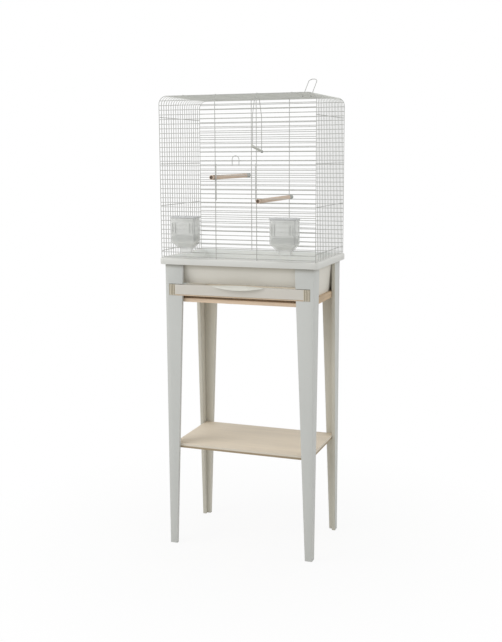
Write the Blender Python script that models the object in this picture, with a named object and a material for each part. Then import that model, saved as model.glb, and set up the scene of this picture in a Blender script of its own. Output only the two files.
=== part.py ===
"""Bird cage on an open wooden stand.

A wire cage stands on a tapered plastic base, the base hangs in a stand with four
L-shaped legs, a drawer slides under the base and a plywood shelf ties the legs.
Metres, +Z up, and the front faces -Y. The sizes below are measured from the middle
of the stand. The origin is on the floor at the middle of the whole object's box,
which the feeders in front move forward, so all pieces hang on one empty that
carries them back by half of the difference.
"""

import math

import bmesh
import bpy

# Clearance between two pieces that touch
SEAT = 0.0003

# Legs: two boards each, which meet in an L at the outer corner
LEG_OUT_X = 0.2125
LEG_OUT_Y = 0.1310
LEG_TOP = 0.8080
LEG_TOP_WIDTH = 0.0525
LEG_FOOT_WIDTH = 0.0210
BOARD = 0.0100

# Notch in the two front boards, which the drawer passes through
NOTCH_TALL = 0.0320
NOTCH_STRIP = 0.0100

# Rails under the base, and the shelf
SIDE_RAIL_TALL = 0.0180
SIDE_RAIL_WIDE = 0.0240
BACK_RAIL_DEEP = 0.0180
FRONT_RAIL_TALL = 0.0100
FRONT_RAIL_DEEP = 0.0450
SHELF_TOP = 0.2960
SHELF_THICK = 0.0115

# Dowels that pin the shelf to the side boards
DOWEL_RADIUS = 0.0025
DOWEL_LONG = 0.0240
DOWEL_IN_BOARD = 0.0060
DOWEL_SIDES = 8

# Base: a rim that rests on the legs, over walls that lean in and have no floor
RIM_PAST_LEGS_X = 0.0135
RIM_PAST_LEGS_Y = 0.0110
RIM_THICK = 0.0185
RIM_CORNER = 0.0120
RIM_EDGE = 0.0050
WELL_DEEP = 0.0860
BASE_WALL = 0.0022
BASE_LEAN = 0.0090
BASE_FRONT_LEAN = 0.0200
BASE_CORNER = 0.0060
ARC_STEPS = 3

# Drawer
DRAWER_SIDE_GAP = 0.0010
DRAWER_BACK_GAP = 0.0050
DRAWER_PLY = 0.0029
DRAWER_FRONT_SIDE_GAP = 0.0004
DRAWER_FRONT_TALL = 0.0270
DRAWER_FRONT_DEEP = 0.0120
DRAWER_SIDE_TALL = 0.0200
DRAWER_SIDE_THICK = 0.0060
DRAWER_HEAD_ROOM = 0.0025

# Crescent pull on the drawer's front
PULL_HALF_X = 0.0730
PULL_WALL = 0.0025
PULL_RISE = 0.0040
PULL_DROP = 0.0065
PULL_FLARE = 0.0120
PULL_FOOT = 0.0015
PULL_STEPS = 12

# Cage wires
CAGE_FROM_RIM_X = 0.0060
CAGE_FROM_RIM_Y = 0.0030
CAGE_TALL = 0.4312
CAGE_CORNER = 0.0220
WIRE = 0.0018
ROWS = 36
LOWEST_ROW = 0.0033
HOOP_GAPS = 18
SIDE_CROSS_ROWS = (1.24, 11.25, 20.4, 30.48)
ROOF_CROSS_X = (0.0578, 0.1510)
UPRIGHT_X = 0.0578
UPRIGHT = 0.0022
BEND_STEPS = 3

# Door, between two uprights, over rows that the front panel leaves out
DOOR_LOW_ROW = 13
DOOR_HIGH_ROW = 20
DOOR_SIDE_GAP = 0.0005
DOOR_STUB = 0.0045
LOOP_HALF_X = 0.0095
LOOP_TALL = 0.0245
ARCH_STEPS = 6

# Perches: round bars with necks that lie between two rows of the end panels
PERCH_LEFT_X = -0.0650
PERCH_LEFT_ROW = 17
PERCH_RIGHT_X = 0.0650
PERCH_RIGHT_ROW = 12
PERCH_RADIUS = 0.0062
PERCH_HEAD_RADIUS = 0.0058
PERCH_PROUD_FRONT = 0.0120
PERCH_PROUD_BACK = 0.0030
PERCH_CAP = 0.0300
PERCH_SIDES = 10

# Swing: two bent wires over two hoops of the roof, and a rod that sags to the back
SWING_X = 0.0100
SWING_HOOP = 1
SWING_HALF_Y = 0.0370
SWING_SHOULDER = 0.0500
SWING_ROD_DROP = 0.1390
SWING_ROD_SAG = math.radians(10.5)
SWING_ROD_HALF = 0.0420
SWING_ROD_RADIUS = 0.0038
SWING_WIRE = 0.0018
HOOK_RADIUS = 0.0032

# Hanging loop on the roof
BAIL_X = 0.1515
BAIL_HALF_X = 0.0115
BAIL_LONG = 0.0790
BAIL_LEAN = math.radians(53)
BAIL_WIRE = 0.0018
BAIL_EYE = 0.0026

# Feeders on the front panel
LEFT_FEEDER_X = -0.1380
RIGHT_FEEDER_X = 0.1415
FEEDER_HALF_X = 0.0375
FEEDER_DEEP = 0.0400
FEEDER_TALL = 0.0794
FEEDER_WALL = 0.0018
FEEDER_CORNER = 0.0080
FEEDER_FOOT_SHRINK = 0.0140
FEEDER_FOOT_TALL = 0.0160
FEEDER_NUB_SHRINK = 0.0060
FEEDER_NUB_TALL = 0.0130
LID_TALL = 0.0043
LID_PROUD = 0.0010
LID_EDGE = 0.0018
FEEDER_HOOK_ROW = 8
FEEDER_HOOK_DOWN = 0.0093
FEEDER_HOOK_HALF_X = 0.0120
FEEDER_HOOK = 0.0016
FEEDER_HOOK_DROP = 0.0050

# Clip at the front right corner
CLIP_WIDE = 0.0060
CLIP_TALL = 0.0190
CLIP_DEEP = 0.0024

# Places that follow from the sizes above
INSIDE_X = LEG_OUT_X - BOARD
INSIDE_Y = LEG_OUT_Y - BOARD
LEG_SLOPE = (LEG_TOP_WIDTH - LEG_FOOT_WIDTH) / LEG_TOP
RIM_OUT_X = LEG_OUT_X + RIM_PAST_LEGS_X
RIM_OUT_Y = LEG_OUT_Y + RIM_PAST_LEGS_Y
RIM_FOOT = LEG_TOP + SEAT
RIM_TOP = RIM_FOOT + RIM_THICK
BASE_FOOT = RIM_FOOT - WELL_DEEP
SIDE_RAIL_TOP = BASE_FOOT - SEAT
RAIL_FOOT = SIDE_RAIL_TOP - SIDE_RAIL_TALL
BASE_IN_X = INSIDE_X - SEAT
BASE_IN_Y = INSIDE_Y - SEAT
DRAWER_WAY_X = BASE_IN_X - BASE_LEAN - BASE_WALL - BASE_CORNER
DRAWER_HALF_X = DRAWER_WAY_X - DRAWER_SIDE_GAP
DRAWER_BACK_Y = BASE_IN_Y - BASE_LEAN - BASE_WALL - DRAWER_BACK_GAP
PLY_FOOT = SIDE_RAIL_TOP + SEAT
PLY_TOP = PLY_FOOT + DRAWER_PLY
DRAWER_WALL_FOOT = PLY_TOP + SEAT
DRAWER_FRONT_TOP = DRAWER_WALL_FOOT + DRAWER_FRONT_TALL
DRAWER_FRONT_BACK = -LEG_OUT_Y + DRAWER_FRONT_DEEP
DRAWER_FRONT_HALF_X = INSIDE_X - DRAWER_FRONT_SIDE_GAP
CAGE_OUT_X = RIM_OUT_X - CAGE_FROM_RIM_X
CAGE_OUT_Y = RIM_OUT_Y - CAGE_FROM_RIM_Y
WIRE_X = CAGE_OUT_X - WIRE / 2
WIRE_Y = CAGE_OUT_Y - WIRE / 2
CAGE_ROOF = RIM_TOP + CAGE_TALL
WIRE_FOOT = RIM_TOP + SEAT
ROW_FOOT = WIRE_FOOT + LOWEST_ROW
ROW_STEP = (CAGE_ROOF - ROW_FOOT) / (ROWS - 1)
HOOP_STEP = 2 * WIRE_Y / HOOP_GAPS
BEND_FOOT = CAGE_ROOF - CAGE_CORNER
UPRIGHT_Y = CAGE_OUT_Y + SEAT + UPRIGHT / 2
DOOR_HALF_X = UPRIGHT_X - UPRIGHT / 2 - DOOR_SIDE_GAP
PERCH_NECK_RADIUS = (ROW_STEP - WIRE) / 2 - SEAT
FEEDER_BACK = -CAGE_OUT_Y - SEAT
FEEDER_FRONT = FEEDER_BACK - FEEDER_DEEP
FEEDER_TOP = ROW_FOOT + ROW_STEP * FEEDER_HOOK_ROW + FEEDER_HOOK_DOWN
FEEDER_FOOT = FEEDER_TOP - FEEDER_TALL
LID_FOOT = FEEDER_TOP + SEAT
CARRY_BACK = (-(FEEDER_FRONT - LID_PROUD) - RIM_OUT_Y) / 2

# Colour, roughness and metallic value of each finish
WHITE_WOOD = ((0.60, 0.59, 0.56), 0.55, 0.0)
PLYWOOD = ((0.68, 0.60, 0.47), 0.65, 0.0)
RAIL_WOOD = ((0.58, 0.43, 0.29), 0.70, 0.0)
WHITE_PLASTIC = ((0.66, 0.66, 0.63), 0.40, 0.0)
WHITE_WIRE = ((0.62, 0.62, 0.60), 0.35, 0.0)
PERCH_WOOD = ((0.46, 0.32, 0.22), 0.75, 0.0)
CLEAR_PLASTIC = ((0.60, 0.62, 0.61), 0.15, 0.0)
GREY_PLASTIC = ((0.42, 0.44, 0.42), 0.45, 0.0)


def clear_scene():
    for thing in list(bpy.data.objects):
        bpy.data.objects.remove(thing, do_unlink=True)


def finish(name, look):
    """A plain material with the look's colour, roughness and metallic value."""
    colour, roughness, metallic = look
    material = bpy.data.materials.new(name)
    material.use_nodes = True
    shader = material.node_tree.nodes["Principled BSDF"]
    shader.inputs["Base Color"].default_value = (*colour, 1.0)
    shader.inputs["Roughness"].default_value = roughness
    shader.inputs["Metallic"].default_value = metallic
    return material


def add(name, data, look, parent):
    """An object of its own for one piece, under its parent."""
    piece = bpy.data.objects.new(name, data)
    bpy.context.scene.collection.objects.link(piece)
    data.materials.append(finish(name, look))
    piece.parent = parent
    return piece


def empty(name, place, parent=None):
    """An empty that carries pieces which move together."""
    holder = bpy.data.objects.new(name, None)
    bpy.context.scene.collection.objects.link(holder)
    holder.location = place
    holder.parent = parent
    return holder


def mesh_of(name, shape, smooth=False):
    """A finished mesh from a bmesh, with its faces turned outwards."""
    bmesh.ops.recalc_face_normals(shape, faces=shape.faces)
    mesh = bpy.data.meshes.new(name)
    shape.to_mesh(mesh)
    shape.free()
    if smooth:
        mesh.shade_smooth()
        mesh.set_sharp_from_angle(angle=math.radians(40))
    return mesh


def box(name, low, high):
    """A box between two corners."""
    shape = bmesh.new()
    bmesh.ops.create_cube(shape, size=1.0)
    for vert in shape.verts:
        vert.co = [a + (b - a) * (c + 0.5) for a, b, c in zip(low, high, vert.co)]
    return mesh_of(name, shape)


def prism(name, outline, near, far):
    """An outline of points carried from near to far, each a function of the point."""
    shape = bmesh.new()
    first = [shape.verts.new(near(*point)) for point in outline]
    last = [shape.verts.new(far(*point)) for point in outline]
    shape.faces.new(first)
    shape.faces.new(last)
    for i in range(len(outline)):
        shape.faces.new((first[i - 1], first[i], last[i], last[i - 1]))
    return mesh_of(name, shape)


def circle(radius, sides):
    """Points of a circle about the origin."""
    turns = [math.tau * i / sides for i in range(sides)]
    return [(radius * math.cos(turn), radius * math.sin(turn)) for turn in turns]


def rod(name, sides, stations):
    """A round bar along Y about the object's origin, through pairs of a Y and a radius."""
    shape = bmesh.new()
    rings = []
    for y, radius in stations:
        rings.append([shape.verts.new((x, y, z)) for x, z in circle(radius, sides)])
    shape.faces.new(rings[0])
    shape.faces.new(rings[-1])
    for near, far in zip(rings, rings[1:]):
        for k in range(sides):
            shape.faces.new((near[k - 1], near[k], far[k], far[k - 1]))
    mesh = mesh_of(name, shape)
    mesh.shade_smooth()
    mesh.set_sharp_from_angle(angle=math.radians(50))
    return mesh


def wire(name, points, thick, look, parent):
    """A bent wire through the points."""
    curve = bpy.data.curves.new(name, "CURVE")
    curve.dimensions = "3D"
    curve.bevel_depth = thick / 2
    curve.bevel_resolution = 1
    curve.use_fill_caps = True
    line = curve.splines.new("POLY")
    line.points.add(len(points) - 1)
    for point, place in zip(line.points, points):
        point.co = (*place, 1.0)
    return add(name, curve, look, parent)


def lattice(name, us, vs, place, runs_u, runs_v):
    """Square wires welded in one plane, as one closed body.

    us and vs are the places of the lines. runs_u(i, j) tells whether a wire goes from
    crossing (i, j) to (i + 1, j), and runs_v the same for (i, j + 1). place takes the
    flat u, v and depth to the real point, so that a panel can bend.
    """
    shape = bmesh.new()
    half = WIRE / 2
    ends = (-1, 1)
    ring = ((-1, -1), (1, -1), (1, 1), (-1, 1))
    points = {}

    def bars(i, j):
        return {
            ("u", -1): i > 0 and runs_u(i - 1, j),
            ("u", 1): i < len(us) - 1 and runs_u(i, j),
            ("v", -1): j > 0 and runs_v(i, j - 1),
            ("v", 1): j < len(vs) - 1 and runs_v(i, j),
        }

    def point(i, j, side_u, side_v, depth):
        found = bars(i, j)
        passes_u = found["u", -1] and found["u", 1] and not (found["v", -1] or found["v", 1])
        passes_v = found["v", -1] and found["v", 1] and not (found["u", -1] or found["u", 1])
        side_u = 0 if passes_u else side_u
        side_v = 0 if passes_v else side_v
        key = (i, j, side_u, side_v, depth)
        if key not in points:
            real = place(us[i] + side_u * half, vs[j] + side_v * half, depth * half)
            points[key] = shape.verts.new(real)
        return points[key]

    def face(*corners):
        if len(set(corners)) == len(corners):
            shape.faces.new(corners)

    def end_ring(i, j, way, side):
        if way == "u":
            return [point(i, j, side, a, b) for a, b in ring]
        return [point(i, j, a, side, b) for a, b in ring]

    for i in range(len(us)):
        for j in range(len(vs)):
            found = bars(i, j)
            if not any(found.values()):
                continue
            for depth in ends:
                face(*[point(i, j, a, b, depth) for a, b in ring])
            for way in ("u", "v"):
                for side in ends:
                    here = end_ring(i, j, way, side)
                    if not found[way, side]:
                        face(*here)
                    elif side > 0:
                        step = (i + 1, j) if way == "u" else (i, j + 1)
                        there = end_ring(*step, way, -1)
                        for k in range(4):
                            face(here[k - 1], here[k], there[k], there[k - 1])
    return mesh_of(name, shape)


def across(name, radius, start, end):
    """A round bar along X between two values, for a dowel or its hole."""
    ring = circle(radius, DOWEL_SIDES)
    return prism(name, ring, lambda y, z: (start, y, z), lambda y, z: (end, y, z))


def cut(target, name, mesh, operation):
    """Adds a Boolean with a shape of its own to a piece, and returns the shape's object."""
    tool = bpy.data.objects.new(name, mesh)
    bpy.context.scene.collection.objects.link(tool)
    tool.parent = target.parent
    tool.hide_render = True
    tool.display_type = "WIRE"
    change = target.modifiers.new(name, "BOOLEAN")
    change.operation = operation
    change.solver = "EXACT"
    change.object = tool
    return tool


def leg_width(height):
    """Width of a leg board at a height over the floor."""
    return LEG_FOOT_WIDTH + LEG_SLOPE * height


def front_board(name, side_x, side_y, notched, root):
    """A leg's board in the plane of the front or the back."""
    def inner(height):
        return LEG_OUT_X - leg_width(height)

    outline = [(LEG_OUT_X, 0), (LEG_OUT_X, LEG_TOP), (inner(LEG_TOP), LEG_TOP)]
    if notched:
        strip = LEG_OUT_X - NOTCH_STRIP
        low = SIDE_RAIL_TOP
        high = low + NOTCH_TALL
        outline += [(inner(high), high), (strip, high), (strip, low), (inner(low), low)]
    outline.append((inner(0), 0))
    mesh = prism(
        name,
        outline,
        lambda x, z: (side_x * x, side_y * LEG_OUT_Y, z),
        lambda x, z: (side_x * x, side_y * INSIDE_Y, z),
    )
    return add(name, mesh, WHITE_WOOD, root)


def side_board(name, side_x, side_y, root):
    """A leg's board in the plane of the side, which butts on the front or back board."""
    seat = INSIDE_Y - SEAT
    outline = [
        (seat, 0),
        (seat, LEG_TOP),
        (LEG_OUT_Y - leg_width(LEG_TOP), LEG_TOP),
        (LEG_OUT_Y - leg_width(0), 0),
    ]
    mesh = prism(
        name,
        outline,
        lambda y, z: (side_x * LEG_OUT_X, side_y * y, z),
        lambda y, z: (side_x * INSIDE_X, side_y * y, z),
    )
    return add(name, mesh, WHITE_WOOD, root)


def build_stand(root):
    """Legs, rails, shelf and the dowels that hold the shelf."""
    shelf_x = INSIDE_X - SEAT
    shelf_y = INSIDE_Y - SEAT
    low = (-shelf_x, -shelf_y, SHELF_TOP - SHELF_THICK)
    shelf = add("shelf", box("shelf", low, (shelf_x, shelf_y, SHELF_TOP)), PLYWOOD, root)
    dowel_z = SHELF_TOP - SHELF_THICK / 2
    dowel_y = LEG_OUT_Y - leg_width(SHELF_TOP) + DOWEL_RADIUS * 3
    dowel_out = INSIDE_X + DOWEL_IN_BOARD
    dowel_in = dowel_out - DOWEL_LONG
    hole_out = dowel_out + SEAT
    hole_in = dowel_in - SEAT
    for side_y, where in ((-1, "front"), (1, "back")):
        for side_x, hand in ((-1, "left"), (1, "right")):
            leg = f"leg_{where}_{hand}"
            front_board(f"{leg}_wide_board", side_x, side_y, side_y < 0, root)
            board = side_board(f"{leg}_side_board", side_x, side_y, root)
            place = (0, side_y * dowel_y, dowel_z)
            for target in (board, shelf):
                name = f"{target.name}_{where}_{hand}_hole"
                hole = across(name, DOWEL_RADIUS + SEAT, side_x * hole_out, side_x * hole_in)
                cut(target, name, hole, "DIFFERENCE").location = place
            name = f"shelf_dowel_{where}_{hand}"
            dowel = across(name, DOWEL_RADIUS, side_x * dowel_out, side_x * dowel_in)
            add(name, dowel, RAIL_WOOD, root).location = place

    inner_x = INSIDE_X - SEAT
    inner_y = INSIDE_Y - SEAT
    between = inner_x - SIDE_RAIL_WIDE
    for side_x, hand in ((-1, "left"), (1, "right")):
        name = f"{hand}_rail"
        outer = side_x * inner_x
        inside = side_x * between
        low = (min(outer, inside), -inner_y, RAIL_FOOT)
        high = (max(outer, inside), inner_y, SIDE_RAIL_TOP)
        add(name, box(name, low, high), RAIL_WOOD, root)
    cross = between - SEAT
    low = (-cross, -inner_y, RAIL_FOOT)
    high = (cross, FRONT_RAIL_DEEP - inner_y, RAIL_FOOT + FRONT_RAIL_TALL)
    add("front_rail", box("front_rail", low, high), RAIL_WOOD, root)
    low = (-cross, inner_y - BACK_RAIL_DEEP, RAIL_FOOT)
    add("back_rail", box("back_rail", low, (cross, inner_y, SIDE_RAIL_TOP)), RAIL_WOOD, root)


def round_corners(half_x, half_y, radius):
    """Points of a rectangle with round corners, seen from above."""
    points = []
    for turn, (side_x, side_y) in enumerate(((1, 1), (-1, 1), (-1, -1), (1, -1))):
        for k in range(ARC_STEPS + 1):
            angle = math.pi / 2 * (turn + k / ARC_STEPS)
            x = side_x * (half_x - radius) + radius * math.cos(angle)
            y = side_y * (half_y - radius) + radius * math.sin(angle)
            points.append((x, y))
    return points


def loft(name, levels, closed, centre=(0, 0)):
    """Skins rings of points, each at its own height. A closed loft meets its first ring again."""
    shape = bmesh.new()
    rings = []
    for points, height in levels:
        rings.append([shape.verts.new((centre[0] + x, centre[1] + y, height)) for x, y in points])
    pairs = list(zip(rings, rings[1:]))
    if closed:
        pairs.append((rings[-1], rings[0]))
    else:
        shape.faces.new(rings[0])
        shape.faces.new(rings[-1])
    for below, above in pairs:
        for k in range(len(below)):
            shape.faces.new((below[k - 1], below[k], above[k], above[k - 1]))
    return mesh_of(name, shape, smooth=True)


def build_base(root):
    """The plastic base: rim, leaning walls, no floor, and a low opening for the drawer."""
    def rim(inset):
        return round_corners(RIM_OUT_X - inset, RIM_OUT_Y - inset, RIM_CORNER - inset)

    def wall(inset, back=0):
        ring = round_corners(BASE_IN_X - inset, BASE_IN_Y - inset - back / 2, BASE_CORNER)
        return [(x, y + back / 2) for x, y in ring]

    levels = [(wall(0), RIM_FOOT), (rim(0), RIM_FOOT)]
    for k in range(ARC_STEPS + 1):
        angle = math.pi / 2 * k / ARC_STEPS
        levels.append((rim(RIM_EDGE * (1 - math.cos(angle))), RIM_TOP - RIM_EDGE * (1 - math.sin(angle))))
    front_back = BASE_FRONT_LEAN - BASE_LEAN
    levels += [
        (wall(BASE_WALL), RIM_TOP),
        (wall(BASE_WALL + BASE_LEAN, front_back), BASE_FOOT),
        (wall(BASE_LEAN, front_back), BASE_FOOT),
    ]
    base = add("base", loft("base", levels, True), WHITE_PLASTIC, root)
    low = (-DRAWER_WAY_X, -RIM_OUT_Y, BASE_FOOT - BASE_WALL)
    high = (DRAWER_WAY_X, -BASE_IN_Y / 2, DRAWER_FRONT_TOP + DRAWER_HEAD_ROOM)
    cut(base, "drawer_way", box("drawer_way", low, high), "DIFFERENCE")


def build_pull(drawer):
    """The crescent lip at the top of the drawer's front, which flares out and down."""
    shape = bmesh.new()
    face_y = -LEG_OUT_Y - SEAT
    rings = []
    for k in range(PULL_STEPS + 1):
        x = PULL_HALF_X * (2 * k / PULL_STEPS - 1)
        bulge = 1 - (x / PULL_HALF_X) ** 2
        top = DRAWER_FRONT_TOP + PULL_RISE * bulge
        foot = DRAWER_FRONT_TOP - PULL_FOOT - PULL_DROP * bulge
        out = face_y - PULL_FLARE * bulge
        hold = top - (top - foot) / 3
        section = (
            (face_y, top),
            (face_y - PULL_WALL, top),
            (out - PULL_WALL, foot),
            (out, foot),
            (face_y, hold),
        )
        rings.append([shape.verts.new((x, y, z)) for y, z in section])
    shape.faces.new(rings[0])
    shape.faces.new(rings[-1])
    for left, right in zip(rings, rings[1:]):
        for k in range(len(left)):
            shape.faces.new((left[k - 1], left[k], right[k], right[k - 1]))
    add("drawer_pull", mesh_of("drawer_pull", shape, smooth=True), WHITE_WOOD, drawer)


def front_bar(name, wide, over_floor):
    """The drawer's front bar, whose ends reach down past the plywood floor's edge."""
    outline = [
        (-wide, PLY_FOOT),
        (-wide, DRAWER_FRONT_TOP),
        (wide, DRAWER_FRONT_TOP),
        (wide, PLY_FOOT),
        (over_floor, PLY_FOOT),
        (over_floor, DRAWER_WALL_FOOT),
        (-over_floor, DRAWER_WALL_FOOT),
        (-over_floor, PLY_FOOT),
    ]
    return prism(
        name,
        outline,
        lambda x, z: (x, -LEG_OUT_Y, z),
        lambda x, z: (x, DRAWER_FRONT_BACK, z),
    )


def build_drawer(root):
    """The drawer: plywood floor, front bar with its pull, two sides and a back."""
    drawer = empty("drawer_slide", (0, 0, 0), root)
    half = DRAWER_HALF_X
    side = half - DRAWER_SIDE_THICK
    wall_top = DRAWER_WALL_FOOT + DRAWER_SIDE_TALL
    start = DRAWER_FRONT_BACK + SEAT
    back_start = DRAWER_BACK_Y - DRAWER_SIDE_THICK
    floor = box("drawer_floor", (-half, -LEG_OUT_Y, PLY_FOOT), (half, DRAWER_BACK_Y, PLY_TOP))
    add("drawer_floor", floor, PLYWOOD, drawer)
    front = front_bar("drawer_front", DRAWER_FRONT_HALF_X, half + SEAT)
    add("drawer_front", front, WHITE_WOOD, drawer)
    left = box("drawer_left_side", (-half, start, DRAWER_WALL_FOOT), (-side, DRAWER_BACK_Y, wall_top))
    add("drawer_left_side", left, WHITE_WOOD, drawer)
    right = box("drawer_right_side", (side, start, DRAWER_WALL_FOOT), (half, DRAWER_BACK_Y, wall_top))
    add("drawer_right_side", right, WHITE_WOOD, drawer)
    low = (SEAT - side, back_start, DRAWER_WALL_FOOT)
    back = box("drawer_back", low, (side - SEAT, DRAWER_BACK_Y, wall_top))
    add("drawer_back", back, WHITE_WOOD, drawer)
    build_pull(drawer)


def row_height(row):
    """Height of a row of the front and back panels, counted from the bottom."""
    return ROW_FOOT + ROW_STEP * row


def corner_inset(height):
    """How far the cage's outline has turned in at a height, at its round upper corners."""
    rise = min(max(height - BEND_FOOT, 0), CAGE_CORNER)
    return CAGE_CORNER - math.sqrt(CAGE_CORNER ** 2 - rise ** 2)


def grille(name, columns, rows, side_y, root, foot=None, top=None):
    """Rows of wires in the front or back panel, held by its frame wire at their outer ends.

    columns are the two ends of the rows. foot and top are where the frame wire ends, if it
    runs on past the rows.
    """
    heights = [row_height(row) for row in rows]
    row_heights = set(heights)
    if foot is not None:
        heights.insert(0, foot)
    if top is not None:
        heights.append(top)

    def place(x, z, out):
        if abs(x) > WIRE_X - WIRE:
            x -= math.copysign(corner_inset(z), x)
        return (x, side_y * (WIRE_Y + out), z)

    def runs_across(i, j):
        return heights[j] in row_heights

    def runs_up(i, j):
        return abs(columns[i]) == WIRE_X

    add(name, lattice(name, columns, heights, place, runs_across, runs_up), WHITE_WIRE, root)


def uprights(panel, side_y, root):
    """The two thicker wires outside a panel's rows."""
    for side_x, hand in ((-1, "left"), (1, "right")):
        x = side_x * UPRIGHT_X
        y = side_y * UPRIGHT_Y
        name = f"{panel}_{hand}_upright"
        wire(name, [(x, y, WIRE_FOOT), (x, y, CAGE_ROOF)], UPRIGHT, WHITE_WIRE, root)


def build_back_panel(root):
    """The back panel: rows from side to side, inside a frame wire with round upper corners."""
    full = (-WIRE_X, WIRE_X)
    grille("back_panel", full, range(ROWS), 1, root, WIRE_FOOT + WIRE / 2)
    uprights("back_panel", 1, root)


def build_front_panel(root):
    """The front panel in four parts round the door's opening, with a gap where they meet."""
    full = (-WIRE_X, WIRE_X)
    stop = UPRIGHT_X - UPRIGHT / 2 + WIRE / 2
    beside_door = range(DOOR_LOW_ROW, DOOR_HIGH_ROW + 1)
    foot = row_height(DOOR_LOW_ROW - 1) + WIRE + SEAT
    top = row_height(DOOR_HIGH_ROW + 1) - WIRE - SEAT
    grille("front_panel_lower_rows", full, range(DOOR_LOW_ROW), -1, root, WIRE_FOOT + WIRE / 2)
    grille("front_panel_left_rows", (-WIRE_X, -stop), beside_door, -1, root, foot, top)
    grille("front_panel_right_rows", (stop, WIRE_X), beside_door, -1, root, foot, top)
    grille("front_panel_upper_rows", full, range(DOOR_HIGH_ROW + 1, ROWS), -1, root)
    uprights("front_panel", -1, root)


def hoop_places():
    """Places in depth of the hoops between the front and back panels."""
    return [HOOP_STEP * k - WIRE_Y for k in range(1, HOOP_GAPS)]


def hooped_lines():
    """The hoops' places, with the ends of the cross wires at both ends of the list."""
    end = CAGE_OUT_Y - WIRE - SEAT - WIRE / 2
    return [-end] + hoop_places() + [end]


def side_panel(name, side_x, root):
    """The upright part of the hoops on one side, with its cross wires."""
    depths = hooped_lines()
    crosses = [row_height(row) for row in SIDE_CROSS_ROWS]
    heights = [WIRE_FOOT + WIRE / 2, *crosses, BEND_FOOT - WIRE / 2 - SEAT]

    def place(y, z, out):
        return (side_x * (WIRE_X + out), y, z)

    def runs_across(i, j):
        return 0 < j < len(heights) - 1

    def runs_up(i, j):
        return 0 < i < len(depths) - 1

    add(name, lattice(name, depths, heights, place, runs_across, runs_up), WHITE_WIRE, root)


def roof_line(length, out):
    """X and Z of the point at a length along the roof's bent line, from its left end."""
    quarter = CAGE_CORNER * math.pi / 2
    flat = 2 * (WIRE_X - CAGE_CORNER)
    reach = CAGE_CORNER + out
    if length < quarter:
        angle = length / CAGE_CORNER
        return CAGE_CORNER - WIRE_X - reach * math.cos(angle), BEND_FOOT + reach * math.sin(angle)
    if length > quarter + flat:
        angle = (length - quarter - flat) / CAGE_CORNER
        return WIRE_X - CAGE_CORNER + reach * math.sin(angle), BEND_FOOT + reach * math.cos(angle)
    return CAGE_CORNER - WIRE_X + length - quarter, CAGE_ROOF + out


def roof_panel(root):
    """The roof part of the hoops, with both bends and the cross wires."""
    quarter = CAGE_CORNER * math.pi / 2
    flat = 2 * (WIRE_X - CAGE_CORNER)
    bends = [quarter * k / BEND_STEPS for k in range(1, BEND_STEPS + 1)]
    crosses = [quarter + flat / 2 + side * x for side in (-1, 1) for x in ROOF_CROSS_X]
    last = 2 * quarter + flat
    lines = [WIRE / 2, *bends, *crosses, *[last - bend for bend in bends], last - WIRE / 2]
    lines.sort()
    depths = hooped_lines()

    def place(length, y, out):
        x, z = roof_line(length, out)
        return (x, y, z)

    def runs_over(i, j):
        return 0 < j < len(depths) - 1

    def runs_deep(i, j):
        return lines[i] in crosses

    add("roof_panel", lattice("roof_panel", lines, depths, place, runs_over, runs_deep), WHITE_WIRE, root)


def arch(radius, foot):
    """X and Z of a half circle's points, from the left over the top to the right."""
    turns = [math.pi * k / ARCH_STEPS for k in range(ARCH_STEPS + 1)]
    return [(-radius * math.cos(turn), foot + radius * math.sin(turn)) for turn in turns]


def build_door(root):
    """The sliding door in the front panel, with its finger loop."""
    door = empty("door_slide", (0, 0, 0), root)
    layer = -UPRIGHT_Y
    columns = [WIRE / 2 - DOOR_HALF_X, DOOR_HALF_X - WIRE / 2]
    rows = [row_height(row) for row in range(DOOR_LOW_ROW, DOOR_HIGH_ROW + 1)]
    heights = [rows[0] - DOOR_STUB, *rows, rows[-1] + DOOR_STUB]

    def place(x, z, out):
        return (x, layer - out, z)

    def runs_across(i, j):
        return 0 < j < len(heights) - 1

    def runs_up(i, j):
        return True

    add("door", lattice("door", columns, heights, place, runs_across, runs_up), WHITE_WIRE, door)
    foot = rows[-1] + WIRE / 2 + SEAT
    straight = LOOP_TALL - LOOP_HALF_X
    bend = [(x, layer, z) for x, z in arch(LOOP_HALF_X, foot + straight)]
    points = [(-LOOP_HALF_X, layer, foot), *bend, (LOOP_HALF_X, layer, foot)]
    wire("door_finger_loop", points, WIRE, WHITE_WIRE, door)


def build_perches(root):
    """Two round perches that lie on the rows at both ends."""
    front = -CAGE_OUT_Y - PERCH_PROUD_FRONT
    back = CAGE_OUT_Y + PERCH_PROUD_BACK
    inner = CAGE_OUT_Y - WIRE - SEAT
    joint = back - PERCH_CAP
    outer = CAGE_OUT_Y + SEAT
    thin = PERCH_NECK_RADIUS
    head = PERCH_HEAD_RADIUS
    thick = PERCH_RADIUS
    left = ("left", PERCH_LEFT_X, PERCH_LEFT_ROW)
    right = ("right", PERCH_RIGHT_X, PERCH_RIGHT_ROW)
    for hand, x, row in (left, right):
        height = (row_height(row) + row_height(row + 1)) / 2
        name = f"{hand}_perch"
        cap = f"{hand}_perch_cap"
        stations = [(front, head), (-outer, head), (-outer, thin), (-inner, thin)]
        stations += [(-inner, thick), (joint, thick)]
        wood = add(name, rod(name, PERCH_SIDES, stations), PERCH_WOOD, root)
        stations = [(joint + SEAT, thick), (inner, thick), (inner, thin), (back, thin)]
        end = add(cap, rod(cap, PERCH_SIDES, stations), GREY_PLASTIC, root)
        wood.location = (x, 0, height)
        end.location = (x, 0, height)


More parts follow.
